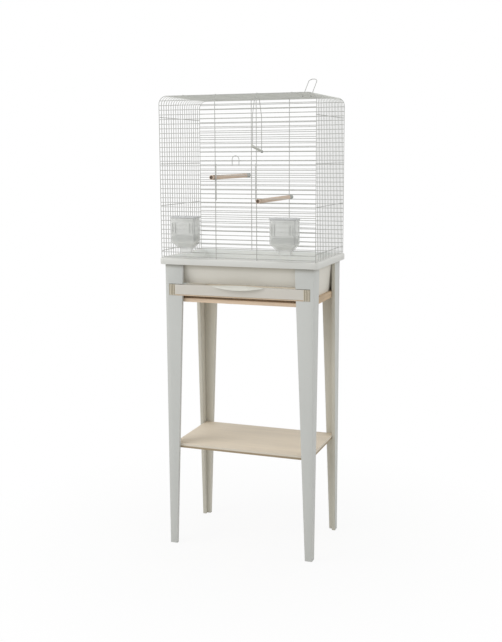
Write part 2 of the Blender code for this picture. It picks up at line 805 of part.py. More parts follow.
def build_swing(root):
    """The swing: each wire hooks over a hoop of the roof and carries an end of the rod."""
    swing = empty("swing_hinge", (SWING_X, 0, CAGE_ROOF), root)
    rod_top = SWING_ROD_RADIUS / math.cos(SWING_ROD_SAG) - SWING_ROD_DROP + SEAT
    slope = math.tan(SWING_ROD_SAG)
    for side, where in ((-1, "front"), (1, "back")):
        hoop = side * SWING_HOOP * HOOP_STEP
        inner = hoop - side * HOOK_RADIUS
        outer = hoop + side * HOOK_RADIUS
        end = side * SWING_HALF_Y
        foot = rod_top - slope * (end - SWING_WIRE / 2)
        points = [
            (0, inner, -HOOK_RADIUS),
            (0, inner, HOOK_RADIUS / 2),
            (0, hoop, HOOK_RADIUS),
            (0, outer, HOOK_RADIUS / 2),
            (0, outer, -HOOK_RADIUS),
            (0, end, -SWING_SHOULDER),
            (0, end, foot),
        ]
        wire(f"swing_{where}_wire", points, SWING_WIRE, WHITE_WIRE, swing)
    stations = [(-SWING_ROD_HALF, SWING_ROD_RADIUS), (SWING_ROD_HALF, SWING_ROD_RADIUS)]
    mesh = rod("swing_rod", PERCH_SIDES, stations)
    seat = add("swing_rod", mesh, GREY_PLASTIC, swing)
    seat.location = (0, 0, -SWING_ROD_DROP)
    seat.rotation_euler = (-SWING_ROD_SAG, 0, 0)


def build_bail(root):
    """The hanging loop: both ends turn round the middle hoop of the roof."""
    bail = empty("bail_hinge", (BAIL_X, 0, CAGE_ROOF), root)
    bail.rotation_euler = (-BAIL_LEAN, 0, 0)
    turns = [math.radians(angle) for angle in range(270, -1, -45)]
    eye = [(BAIL_EYE * math.cos(turn), -BAIL_EYE * math.sin(turn)) for turn in turns]
    left = [(-BAIL_HALF_X, y, z) for y, z in eye]
    right = [(BAIL_HALF_X, y, z) for y, z in reversed(eye)]
    top = [(x, 0, z) for x, z in arch(BAIL_HALF_X, BAIL_LONG - BAIL_HALF_X)]
    wire("hanging_loop", left + top + right, BAIL_WIRE, WHITE_WIRE, bail)


def build_feeder(hand, centre_x, root):
    """A feeder: a hollow cup with a tapered foot, a nub under it and a hook, and its lid."""
    lift = empty(f"{hand}_feeder_lift", (centre_x, 0, 0), root)
    middle = (0, (FEEDER_BACK + FEEDER_FRONT) / 2)
    half_y = FEEDER_DEEP / 2

    def ring(inset):
        return round_corners(FEEDER_HALF_X - inset, half_y - inset, max(FEEDER_CORNER - inset, SEAT))

    shrink = FEEDER_FOOT_SHRINK
    step = FEEDER_FOOT_TALL
    wall = FEEDER_WALL

    def foot(inset):
        half_x = FEEDER_HALF_X - shrink - inset
        outline = round_corners(half_x, half_y - shrink / 2 - inset, FEEDER_CORNER - inset)
        return [(x, y + shrink / 2) for x, y in outline]

    nub = FEEDER_NUB_SHRINK
    levels = [
        (foot(nub), FEEDER_FOOT - FEEDER_NUB_TALL),
        (foot(nub), FEEDER_FOOT),
        (foot(0), FEEDER_FOOT),
        (ring(0), FEEDER_FOOT + step),
        (ring(0), FEEDER_TOP),
        (ring(wall), FEEDER_TOP),
        (ring(wall), FEEDER_FOOT + step),
        (foot(wall), FEEDER_FOOT + wall),
    ]
    cup_name = f"{hand}_feeder_cup"
    cup = add(cup_name, loft(cup_name, levels, False, middle), CLEAR_PLASTIC, lift)

    over = row_height(FEEDER_HOOK_ROW) + WIRE / 2 + SEAT
    behind = -CAGE_OUT_Y + WIRE + SEAT
    inside = FEEDER_BACK - FEEDER_WALL / 2
    outline = [
        (inside, over),
        (behind, over),
        (behind, over - FEEDER_HOOK_DROP),
        (behind + FEEDER_HOOK, over - FEEDER_HOOK_DROP),
        (behind + FEEDER_HOOK, over + FEEDER_HOOK),
        (inside, over + FEEDER_HOOK),
    ]
    hook_name = f"{hand}_feeder_hook"
    hook = prism(
        hook_name,
        outline,
        lambda y, z: (-FEEDER_HOOK_HALF_X, y, z),
        lambda y, z: (FEEDER_HOOK_HALF_X, y, z),
    )
    cut(cup, hook_name, hook, "UNION")

    lid = empty(f"{hand}_feeder_lid_lift", (0, 0, LID_FOOT), lift)
    plug = FEEDER_WALL + SEAT
    lid_levels = [
        (ring(plug), -FEEDER_WALL),
        (ring(plug), 0),
        (lid_outline(ring), 0),
        (lid_outline(ring), LID_TALL - LID_EDGE),
        (ring(FEEDER_WALL), LID_TALL),
    ]
    lid_name = f"{hand}_feeder_lid"
    add(lid_name, loft(lid_name, lid_levels, False, middle), CLEAR_PLASTIC, lid)


def lid_outline(ring):
    """The lid's outline: proud of the cup at the front and sides, flush at the back."""
    back = max(y for x, y in ring(0))
    return [(x, min(y, back)) for x, y in ring(-LID_PROUD)]


def build_clip(root):
    """The small clip that holds the front panel's right corner to the side wires."""
    x = CAGE_OUT_X + SEAT
    y = -CAGE_OUT_Y
    low = (x, y - SEAT, WIRE_FOOT)
    high = (x + CLIP_DEEP, y + CLIP_WIDE, WIRE_FOOT + CLIP_TALL)
    add("corner_clip", box("corner_clip", low, high), WHITE_PLASTIC, root)


def main():
    clear_scene()
    root = empty("cage_on_stand", (0, CARRY_BACK, 0))
    build_stand(root)
    build_base(root)
    build_drawer(root)
    build_front_panel(root)
    build_back_panel(root)
    side_panel("left_side_panel", -1, root)
    side_panel("right_side_panel", 1, root)
    roof_panel(root)
    build_door(root)
    build_perches(root)
    build_swing(root)
    build_bail(root)
    build_feeder("left", LEFT_FEEDER_X, root)
    build_feeder("right", RIGHT_FEEDER_X, root)
    build_clip(root)


main()
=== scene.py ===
"""Looks of a bird cage on an open wooden stand.

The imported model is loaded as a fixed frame, and each piece is modelled over it in metres, in
the same frame: round coated wires, moulded plastic, painted and raw boards. The front faces -Y
and Z is up. Run it as a script, or enable its panel in the 3D view's sidebar.
"""

import math

import bpy
from bpy.props import FloatProperty, FloatVectorProperty, IntProperty, PointerProperty
from bpy.types import Operator, Panel, PropertyGroup
from mathutils import Matrix, Vector


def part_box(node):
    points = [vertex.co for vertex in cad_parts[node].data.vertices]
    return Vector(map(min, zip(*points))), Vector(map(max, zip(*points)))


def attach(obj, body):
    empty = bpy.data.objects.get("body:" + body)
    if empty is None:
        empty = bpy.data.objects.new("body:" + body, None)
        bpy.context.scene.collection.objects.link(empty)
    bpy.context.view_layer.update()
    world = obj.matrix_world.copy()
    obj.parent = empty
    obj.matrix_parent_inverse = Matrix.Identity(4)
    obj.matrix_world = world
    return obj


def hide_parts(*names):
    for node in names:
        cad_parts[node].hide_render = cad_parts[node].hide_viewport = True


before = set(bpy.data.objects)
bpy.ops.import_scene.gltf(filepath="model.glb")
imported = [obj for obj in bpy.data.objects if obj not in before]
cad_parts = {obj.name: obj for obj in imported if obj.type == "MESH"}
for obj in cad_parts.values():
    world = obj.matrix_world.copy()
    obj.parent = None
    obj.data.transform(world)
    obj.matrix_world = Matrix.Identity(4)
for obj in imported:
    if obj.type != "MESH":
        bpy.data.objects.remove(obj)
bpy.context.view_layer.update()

bl_info = {
    "name": "Bird cage on a stand",
    "version": (1, 0, 0),
    "blender": (4, 5, 0),
    "location": "View3D > Sidebar > Bird cage",
    "description": "Dresses the bird cage's frame with its wires, plastic and wood",
    "category": "Object",
}

# Corners of the nodes that the wires are laid along
FRONT_PANEL = tuple(f"front_panel_{where}_rows" for where in ("lower", "left", "right", "upper"))
FRONT_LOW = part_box("front_panel_lower_rows")[0]
FRONT_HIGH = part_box("front_panel_upper_rows")[1]
BACK_LOW, BACK_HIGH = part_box("back_panel")
UPRIGHT_LOW, UPRIGHT_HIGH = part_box("front_panel_left_upright")
RIM_LOW, RIM_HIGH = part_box("base")

# Counts of wires, and distances that the photograph gives
ROWS = 36
LOWEST_ROW = 0.0033
DOOR_ROWS = (13, 20)
HOOP_GAPS = 18
CAGE_CORNER = 0.022
CORNER_STEPS = 6
FRAME_STEPS = 8
SIDE_CROSS_ROWS = (1.24, 11.25, 20.4, 30.48)
ROOF_CROSS_X = (0.0578, 0.1510)

# Bends of the swing and of the two loops, where a full bend takes up nearly half the width
FULL_BEND = 0.98
SWING_HOOK_CLEAR = 0.0014
SWING_SHOULDER = 0.050
SWING_BEND = 0.004
LOOP_EYE = 0.0026

# Radii of small edges
ROD_RIDGE = 0.0008
ROD_EDGE = 0.0009
DOWEL_EDGE = 0.0005
CAP_EDGE = 0.0008
CUP_EDGE = 0.0004
CLIP_EDGE = 0.0006
THIN_EDGE = 0.0003

# The feeder's cup where its foot begins, and the lip of the tray in it
CUP_BEND = 0.0012
TRAY_LIP = 0.0022
TRAY_LIP_DEEP = 0.006

# The tray's gaps to the cup's floor and walls, in walls of the cup
TRAY_UP = 1.5
TRAY_IN = 2.2

# A rib's edges, in widths of a rib; the lid's rim, in radii of its edge, and its dip, in rims
RIB_ROUND = 0.3
LID_RIM = 2.2
LID_DIP = 1.2

# Share of what is behind them that the parts of a feeder cover
COVER_FRONT = 0.42
COVER_SIDE = 0.4
COVER_EDGE = 0.7
COVER_LID = 0.8

# Roughness of satin paint and plastic, and the distance within which vertices merge
SATIN = 0.42
MERGE_GAP = 1e-6

# Least part of a normal that lies along an axis where a face looks along it
FACING = 0.9

# Angles, in degrees, over which an edge counts as sharp
BOARD_SHARP = 40
WIRE_SHARP = 50
WIRE_END_SHARP = 60
PLASTIC_SHARP = 35
THIN_SHARP = 30

# The stage: each lamp's name, place, size and setting, and the floor
LAMPS = (
    ("key_light", (-1.9, -1.9, 1.9), 1.8, "key"),
    ("fill_light", (2.7, 0.1, 1.7), 1.7, "fill"),
    ("top_light", (-0.2, -0.3, 3.1), 1.6, "top"),
)
LAMP_AIM = Vector((0, 0, 0.75))
FLOOR_RADIUS = 14
FLOOR_DROP = 0.0004
FADE_FROM = 0.25
FADE_TO = 0.9
FADE_SHARE = 0.10
WHITE = (1.0, 1.0, 1.0)

# What is left of red, green and blue in the painted shadow under the rim's overhang
RIM_SHADOW_SHARE = (0.64, 0.61, 0.56)


# Handling of objects

def only(piece):
    """Selects one object and makes it the active one."""
    bpy.ops.object.select_all(action="DESELECT")
    piece.select_set(True)
    bpy.context.view_layer.objects.active = piece


def shape_mode(piece):
    """Opens a piece in edit mode with everything selected, in vertex mode."""
    only(piece)
    bpy.context.tool_settings.mesh_select_mode = (True, False, False)
    bpy.ops.object.mode_set(mode="EDIT")
    bpy.ops.mesh.select_all(action="SELECT")


def object_mode():
    """Leaves edit mode."""
    bpy.ops.object.mode_set(mode="OBJECT")


def pick(piece, kind, test):
    """Selects the vertices, edges or faces of a piece that pass a test, and opens edit mode.

    A vertex is tested by its place, an edge by its ends, a face by its centre and normal.
    """
    if bpy.context.mode != "OBJECT":
        object_mode()
    only(piece)
    mesh = piece.data
    for group in (mesh.vertices, mesh.edges, mesh.polygons):
        group.foreach_set("select", [False] * len(group))
    if kind == "VERT":
        for vert in mesh.vertices:
            vert.select = test(vert.co)
    elif kind == "EDGE":
        for edge in mesh.edges:
            start, end = (mesh.vertices[i].co for i in edge.vertices)
            edge.select = test(start, end)
    else:
        for face in mesh.polygons:
            face.select = test(face.center, face.normal)
    bpy.context.tool_settings.mesh_select_mode = (kind == "VERT", kind == "EDGE", kind == "FACE")
    bpy.ops.object.mode_set(mode="EDIT")


def settle(piece):
    """Moves a piece's place, turn and size into its mesh."""
    only(piece)
    bpy.ops.object.transform_apply(location=True, rotation=True, scale=True)


def apply_modifier(piece, kind, **settings):
    """Adds a modifier with its settings and applies it."""
    change = piece.modifiers.new(kind.lower(), kind)
    for name, value in settings.items():
        setattr(change, name, value)
    only(piece)
    bpy.ops.object.modifier_apply(modifier=change.name)


def tidy(piece):
    """Merges doubles and turns the faces outwards."""
    shape_mode(piece)
    bpy.ops.mesh.remove_doubles(threshold=MERGE_GAP)
    bpy.ops.mesh.normals_make_consistent(inside=False)
    object_mode()


def smooth(piece, angle):
    """Shades a piece smooth except at its sharp edges."""
    only(piece)
    bpy.ops.object.shade_smooth_by_angle(angle=math.radians(angle))


def soften(piece, width, segments=2, angle=BOARD_SHARP):
    """Rounds a piece's sharp edges and shades it smooth."""
    apply_modifier(piece, "BEVEL", width=width, segments=segments, limit_method="ANGLE",
                   angle_limit=math.radians(angle), harden_normals=False)
    smooth(piece, angle)


def slice_piece(piece, place, normal):
    """Cuts a piece's faces along a plane."""
    shape_mode(piece)
    bpy.ops.mesh.bisect(plane_co=place, plane_no=normal)
    object_mode()


def join(name, pieces):
    """Joins pieces into one object."""
    bpy.ops.object.select_all(action="DESELECT")
    for piece in pieces:
        piece.select_set(True)
    bpy.context.view_layer.objects.active = pieces[0]
    bpy.ops.object.join()
    whole = bpy.context.view_layer.objects.active
    whole.name = name
    return whole


def in_a_row(piece, count, step):
    """Repeats a piece's shape in its own mesh, one step after the other."""
    apply_modifier(piece, "ARRAY", count=count, use_relative_offset=False,
                   use_constant_offset=True, constant_offset_displace=step)


def hand_over(piece, look, slot, body, *nodes):
    """Gives a finished piece its material and its body, and hides the nodes that it replaces; the
    slot is not used.
    """
    piece.data.materials.clear()
    for each in look if isinstance(look, tuple) else (look,):
        piece.data.materials.append(each)
    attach(piece, body)
    if nodes:
        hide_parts(*nodes)
    return piece


def sort_faces(piece, choose):
    """Gives each face of a piece the material whose number the choice returns."""
    for face in piece.data.polygons:
        face.material_index = int(choose(face))


# Basic shapes

def block(name, low, high):
    """A box between two corners."""
    low, high = Vector(low), Vector(high)
    bpy.ops.mesh.primitive_cube_add(size=1, location=(low + high) / 2, scale=high - low)
    piece = bpy.context.active_object
    piece.name = name
    settle(piece)
    return piece


def turned_bar(name, centre, stations, sides=32):
    """A round bar along Y at an X and Z, through pairs of a Y and a radius."""
    x, z = centre
    y, radius = stations[0]
    bpy.ops.mesh.primitive_circle_add(vertices=sides, radius=radius, fill_type="NGON",
                                      location=(x, y, z), rotation=(math.pi / 2, 0, 0))
    piece = bpy.context.active_object
    piece.name = name
    settle(piece)
    shape_mode(piece)
    for (near, before), (far, after) in zip(stations, stations[1:]):
        bpy.ops.mesh.extrude_region_move(TRANSFORM_OT_translate={"value": (0, far - near, 0)})
        bpy.ops.transform.resize(value=[after / before] * 3, center_override=(x, far, z))
    object_mode()
    tidy(piece)
    return piece


def wire(name, corners, thick, bend=0.0, steps=CORNER_STEPS, fineness=4, blunt=0.12):
    """A round wire through its corners, each rounded to the bend's radius.

    bend is one radius, or a list with a radius for each inner corner. The ends are blunted
    by a share of the thickness.
    """
    corners = [Vector(corner) for corner in corners]
    bpy.ops.mesh.primitive_plane_add(size=thick, location=corners[0])
    piece = bpy.context.active_object
    piece.name = name
    settle(piece)
    shape_mode(piece)
    bpy.ops.mesh.merge(type="CENTER")
    for here, there in zip(corners, corners[1:]):
        bpy.ops.mesh.extrude_region_move(TRANSFORM_OT_translate={"value": there - here})
    bends = bend if isinstance(bend, (list, tuple)) else [bend] * (len(corners) - 2)
    for before, here, after, radius in zip(corners, corners[1:], corners[2:], bends):
        turn = (here - before).angle(after - here)
        reach = radius * math.tan(turn / 2)
        if reach > thick / 20:
            pick(piece, "VERT", lambda place: (place - here).length < thick / 50)
            bpy.ops.mesh.bevel(offset=reach, offset_type="OFFSET", segments=steps,
                               profile=0.5, affect="VERTICES")
    object_mode()
    only(piece)
    bpy.ops.object.convert(target="CURVE")
    line = bpy.context.active_object
    line.data.bevel_depth = thick / 2
    line.data.bevel_resolution = fineness
    line.data.use_fill_caps = True
    bpy.ops.object.convert(target="MESH")
    piece = bpy.context.active_object
    piece.name = name
    piece.data.materials.clear()
    tidy(piece)
    if blunt:
        soften(piece, thick * blunt, 2, WIRE_END_SHARP)
    else:
        smooth(piece, WIRE_SHARP)
    return piece


def rounded_plate(name, half_x, half_y, corner, height, centre, segments=6):
    """A flat plate with round corners, left in edit mode with its face selected."""
    bpy.ops.mesh.primitive_plane_add(size=2, location=(*centre, height))
    piece = bpy.context.active_object
    piece.name = name
    settle(piece)
    for vert in piece.data.vertices:
        vert.co.x = centre[0] + math.copysign(half_x, vert.co.x - centre[0])
        vert.co.y = centre[1] + math.copysign(half_y, vert.co.y - centre[1])
    shape_mode(piece)
    bpy.ops.mesh.bevel(offset=corner, offset_type="OFFSET", segments=segments, profile=0.5,
                       affect="VERTICES")
    bpy.ops.mesh.select_all(action="SELECT")
    return piece


def grow(before, after, centre):
    """Extrudes the selected face from one level to the next.

    A level is half a width, half a depth, a height and a shift along Y.
    """
    x0, y0, z0, shift0 = before
    x1, y1, z1, shift1 = after
    bpy.context.tool_settings.mesh_select_mode = (False, False, True)
    move = (0, shift1 - shift0, z1 - z0)
    bpy.ops.mesh.extrude_region_move(TRANSFORM_OT_translate={"value": move})
    middle = (centre[0], centre[1] + shift1, z1)
    bpy.ops.transform.resize(value=(x1 / x0, y1 / y0, 1), center_override=middle)


def turned_body(name, levels, corner, centre, segments=6):
    """A closed body whose outline with round corners follows levels one after the other."""
    first = levels[0]
    place = (centre[0], centre[1] + first[3])
    piece = rounded_plate(name, first[0], first[1], corner, first[2], place, segments)
    for before, after in zip(levels, levels[1:]):
        grow(before, after, centre)
    object_mode()
    tidy(piece)
    return piece


def solid_copy(node, name):
    """A merged copy of a node's solid, with its flat faces whole."""
    piece = bpy.data.objects.new(name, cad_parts[node].data.copy())
    bpy.context.scene.collection.objects.link(piece)
    shape_mode(piece)
    bpy.ops.mesh.remove_doubles(threshold=MERGE_GAP)
    bpy.ops.mesh.dissolve_limited(angle_limit=math.radians(1))
    object_mode()
    return piece


def dress_solid(node, name, look, slot, body, width, segments=2, angle=BOARD_SHARP):
    """A copy of a node's solid with rounded edges, handed over in the node's place."""
    piece = solid_copy(node, name)
    soften(piece, width, segments, angle)
    return hand_over(piece, look, slot, body, node)


# Shader maths

class Shade:
    """A value on its way through a material, so that shader maths reads as an expression."""

    def __init__(self, finish, socket):
        self.finish = finish
        self.socket = socket

    def maths(self, operation, *others, first=None):
        """A Math node on this value, or on another first one, and on the others."""
        values = [self if first is None else first, *others]
        made = self.finish.node("ShaderNodeMath", {"operation": operation},
                                dict(enumerate(values)))
        return self.finish.out(made, "Value")

    def __add__(self, other):
        return self.maths("ADD", other)

    def __radd__(self, other):
        return self.maths("ADD", other)

    def __sub__(self, other):
        return self.maths("SUBTRACT", other)

    def __rsub__(self, other):
        return self.maths("SUBTRACT", self, first=other)

    def __mul__(self, other):
        return self.maths("MULTIPLY", other)

    def __rmul__(self, other):
        return self.maths("MULTIPLY", other)

    def __truediv__(self, other):
        return self.maths("DIVIDE", other)

    def __pow__(self, other):
        return self.maths("POWER", other)

    def clip(self):
        """The value held between 0 and 1."""
        return self.maths("MINIMUM", 1.0).maths("MAXIMUM", 0.0)

    def over(self, low, high):
        """How far the value has come from low to high, from 0 to 1."""
        return ((self - low) / (high - low)).clip()


class Graph:
    """The nodes of a material or of the sky."""

    def __init__(self, owner):
        owner.use_nodes = True
        self.nodes = owner.node_tree.nodes
        self.links = owner.node_tree.links
        self.nodes.clear()

    def out(self, node, name):
        return Shade(self, node.outputs[name])

    def put(self, socket, value):
        """Sets a socket, or links it."""
        if isinstance(value, Shade):
            self.links.new(value.socket, socket)
        elif socket.type == "RGBA":
            socket.default_value = (*value, 1.0)
        else:
            socket.default_value = value

    def node(self, kind, settings=None, inputs=None):
        """Any node: its settings first, then the values or links of its sockets."""
        made = self.nodes.new(kind)
        for name, value in (settings or {}).items():
            setattr(made, name, value)
        for name, value in (inputs or {}).items():
            self.put(made.inputs[name], value)
        return made


class Finish(Graph):
    """A material in the making, on a Principled BSDF."""

    def __init__(self, name):
        self.material = bpy.data.materials.new(name)
        super().__init__(self.material)
        self.shader = self.node("ShaderNodeBsdfPrincipled")
        lit = self.out(self.shader, "BSDF")
        self.end = self.node("ShaderNodeOutputMaterial", inputs={"Surface": lit})
        self.place = self.out(self.node("ShaderNodeTexCoord"), "Object")

    def stretched(self, scale):
        """Object coordinates with their own scale along each axis."""
        made = self.node("ShaderNodeMapping", {"vector_type": "POINT"},
                         {"Vector": self.place, "Scale": scale})
        return self.out(made, "Vector")

    def noise(self, scale, stretch=(1, 1, 1), detail=3.0, rough=0.5):
        """Noise with a number of patches for each metre, from 0 to 1 about 0.5."""
        made = self.node("ShaderNodeTexNoise", {"noise_dimensions": "3D"},
                         {"Vector": self.stretched(stretch), "Scale": scale,
                          "Detail": detail, "Roughness": rough})
        return self.out(made, "Fac")

    def axis(self, name):
        """One of the object coordinates, in metres."""
        made = self.node("ShaderNodeSeparateXYZ", inputs={"Vector": self.place})
        return self.out(made, name)

    def blend(self, share, first, second):
        """A colour between two, where the share is 0 for the first and 1 for the second."""
        made = self.node("ShaderNodeMix", {"data_type": "RGBA"}, {0: share, 6: first, 7: second})
        return Shade(self, made.outputs[2])

    def tone(self, colour, value, spread):
        """A colour, darker and lighter by a share where the value is under or over 0.5."""
        dark = tuple(c * (1 - spread) for c in colour)
        light = tuple(min(c * (1 + spread), 1.0) for c in colour)
        return self.blend(value, dark, light)

    def bump(self, height, distance, strength):
        """A Bump node that turns the surface by a height, in metres at a height of 1."""
        inputs = {"Height": height, "Distance": distance, "Strength": strength}
        return self.out(self.node("ShaderNodeBump", None, inputs), "Normal")

    def with_rim_shadow(self, shade, colour, top, tall):
        """A shade with a painted shadow of its colour, which fades out below a top edge."""
        unshaded = (top - self.axis("Z")).over(0.0, tall)
        shadow_colour = tuple(channel * share for channel, share in zip(colour, RIM_SHADOW_SHARE))
        return self.blend(unshaded, shadow_colour, shade)

    def stripes(self, place, step, grain, fray, edges):
        """Stripes by turns along a place, from 0 to 1, with edges that the grain frays."""
        wave = (place / step * math.pi).maths("SINE")
        return (wave * 0.5 + 0.5 + (grain - 0.5) * fray).over(*edges)

    def surface(self, **values):
        """Sets or links sockets of the shader, named in words joined by underscores."""
        for name, value in values.items():
            self.put(self.shader.inputs[name.replace("_", " ")], value)
        return self.material


# Finishes

def drawn_out(along, share):
    """Scale of a noise that is drawn out along one axis."""
    return tuple(share if axis == along else 1.0 for axis in "XYZ")


def painted_wood(name, colour, along, roughness=0.5, top=None, shadow_tall=0.012):
    """Lacquer over wood: faint roller texture drawn out along the board, and slow tone changes.

    Below the height of a top edge a painted shadow fades out.
    """
    finish = Finish(name)
    drawn = drawn_out(along, 0.12)
    grain = finish.noise(900, drawn, 4.0, 0.6)
    patches = finish.noise(9, (1, 1, 1), 2.0)
    peel = finish.noise(1400, (1, 1, 1), 2.0)
    shade = finish.tone(colour, 0.35 * grain + 0.65 * patches, 0.035)
    if top is not None:
        shade = finish.with_rim_shadow(shade, colour, top, shadow_tall)
    normal = finish.bump(grain * 0.6 + peel * 0.4, 0.00008, 0.5)
    return finish.surface(
        Base_Color=shade,
        Roughness=(roughness - 0.06 + 0.12 * patches).clip(),
        Normal=normal,
        IOR=1.47,
    )


def raw_board(name, colour, along):
    """The unpainted inside of a leg's board: drawn fibres, darker specks."""
    finish = Finish(name)
    drawn = drawn_out(along, 0.06)
    fibre = finish.noise(500, drawn, 5.0, 0.6)
    patches = finish.noise(14, (1, 1, 0.3), 3.0)
    normal = finish.bump(fibre, 0.0002, 0.5)
    return finish.surface(
        Base_Color=finish.tone(colour, 0.6 * fibre + 0.4 * patches, 0.16),
        Roughness=0.82,
        Normal=normal,
    )


def plain_timber(name, colour, along, spread=0.22, scale=160):
    """Raw softwood or a dowel: long rings and fine pores along one axis."""
    finish = Finish(name)
    drawn = drawn_out(along, 0.05)
    warp = finish.noise(30, drawn, 2.0)
    rings = finish.noise(scale, drawn, 3.0, 0.55)
    pores = finish.noise(1500, drawn, 3.0, 0.7)
    grain = (0.55 * rings + 0.25 * pores + 0.2 * warp).over(0.32, 0.68)
    normal = finish.bump(pores * 0.6 + rings * 0.4, 0.00018, 0.5)
    return finish.surface(
        Base_Color=finish.tone(colour, grain, spread),
        Roughness=0.62 + 0.15 * grain,
        Normal=normal,
    )


def jointed_end(name, pale, dark, near, step):
    """Raw wood in upright fingers, pale and dark by turns across the bar."""
    finish = Finish(name)
    across = finish.axis("X").maths("ABSOLUTE")
    fibre = finish.noise(800, (1, 1, 0.15), 4.0, 0.6)
    turns = finish.stripes(across - near, step, fibre, 0.6, (0.25, 0.75))
    return finish.surface(
        Base_Color=finish.blend(turns, dark, pale),
        Roughness=0.8,
        Normal=finish.bump(fibre, 0.0002, 0.6),
    )


def plywood_face(name, colour, along):
    """Face veneer: wide soft flames and short pores along one axis."""
    finish = Finish(name)
    drawn = drawn_out(along, 0.07)
    flames = finish.noise(38, drawn, 3.0, 0.5)
    lines = finish.noise(420, drawn, 3.0, 0.6)
    pores = finish.noise(2200, drawn, 2.0, 0.7)
    grain = (0.5 * flames + 0.3 * lines + 0.2 * pores).over(0.3, 0.7)
    normal = finish.bump(pores * 0.5 + lines * 0.5, 0.00012, 0.5)
    return finish.surface(
        Base_Color=finish.tone(colour, grain, 0.10),
        Roughness=0.58 + 0.14 * grain,
        Normal=normal,
    )


def plywood_edge(name, pale, dark, ply, foot):
    """The cut edge of plywood: pale and dark plies by turns over the thickness."""
    finish = Finish(name)
    fibre = finish.noise(900, (1, 1, 4), 3.0)
    turns = finish.stripes(finish.axis("Z") - foot, ply, fibre, 0.5, (0.3, 0.7))
    return finish.surface(
        Base_Color=finish.blend(turns, dark, pale),
        Roughness=0.8,
        Normal=finish.bump(fibre, 0.0002, 0.6),
    )


def moulded_plastic(name, colour, roughness=0.38, spread=0.02, top=None, shadow_tall=0.0):
    """Moulded plastic: an even colour with a fine satin texture.

    Below the height of a top edge a painted shadow fades out.
    """
    finish = Finish(name)
    patches = finish.noise(12, (1, 1, 1), 2.0)
    grain = finish.noise(2600, (1, 1, 1), 2.0)
    shade = finish.tone(colour, patches, spread)
    if top is not None:
        shade = finish.with_rim_shadow(shade, colour, top, shadow_tall)
    return finish.surface(
        Base_Color=shade,
        Roughness=roughness + 0.08 * patches,
        Normal=finish.bump(grain, 0.00005, 0.4),
        IOR=1.5,
    )


def clear_plastic(name, colour, cover):
    """Frosted clear plastic, which lets a part of what is behind it show."""
    finish = Finish(name)
    flow = finish.noise(60, (1, 1, 0.3), 3.0)
    normal = finish.bump(flow, 0.0006, 0.35)
    return finish.surface(
        Base_Color=finish.tone(colour, flow, 0.03),
        Roughness=0.16 + 0.12 * flow,
        Normal=normal,
        Alpha=cover,
        IOR=1.55,
    )


def tray_plastic(name, dark, light, top, tall):
    """Frosted plastic, dark and blotched at the tray's lip as painted shade under the lip, and
    lighter below it.
    """
    finish = Finish(name)
    blotches = finish.noise(75, (1, 1, 1), 1.0).over(0.35, 0.65)
    # Darker at the lip: painted shade under the lip, fading out lower down
    down = (top - finish.axis("Z")).over(0.0, tall)
    shade = finish.tone(dark, blotches, 0.3)
    return finish.surface(
        Base_Color=finish.blend(down ** 3.0, shade, finish.tone(light, blotches, 0.08)),
        Roughness=0.3 + 0.1 * blotches,
        IOR=1.5,
    )


def coated_wire(name, colour, above=None, bend=None):
    """White plastic coat on wire, a little uneven along it, with a painted highlight above a bend.
    """
    finish = Finish(name)
    patches = finish.noise(45, (1, 1, 1), 3.0)
    lumps = finish.noise(700, (1, 1, 1), 2.0)
    normal = finish.bump(lumps, 0.00012, 0.5)
    shade = finish.tone(colour, patches, 0.05)
    if above is not None:
        # The paler colour above the bend is a painted highlight
        up = finish.axis("Z").over(*bend)
        shade = finish.blend(up, shade, finish.tone(above, patches, 0.05))
    return finish.surface(
        Base_Color=shade,
        Roughness=0.34 + 0.1 * patches,
        Normal=normal,
        IOR=1.5,
    )


# Settings

def colour_setting(name, description, default):
    """A colour in the panel."""
    return FloatVectorProperty(name=name, description=description, subtype="COLOR", size=3,
                               default=default)


def length_setting(name, description, default):
    """A length in the panel, in metres."""
    return FloatProperty(name=name, description=description, unit="LENGTH", default=default)


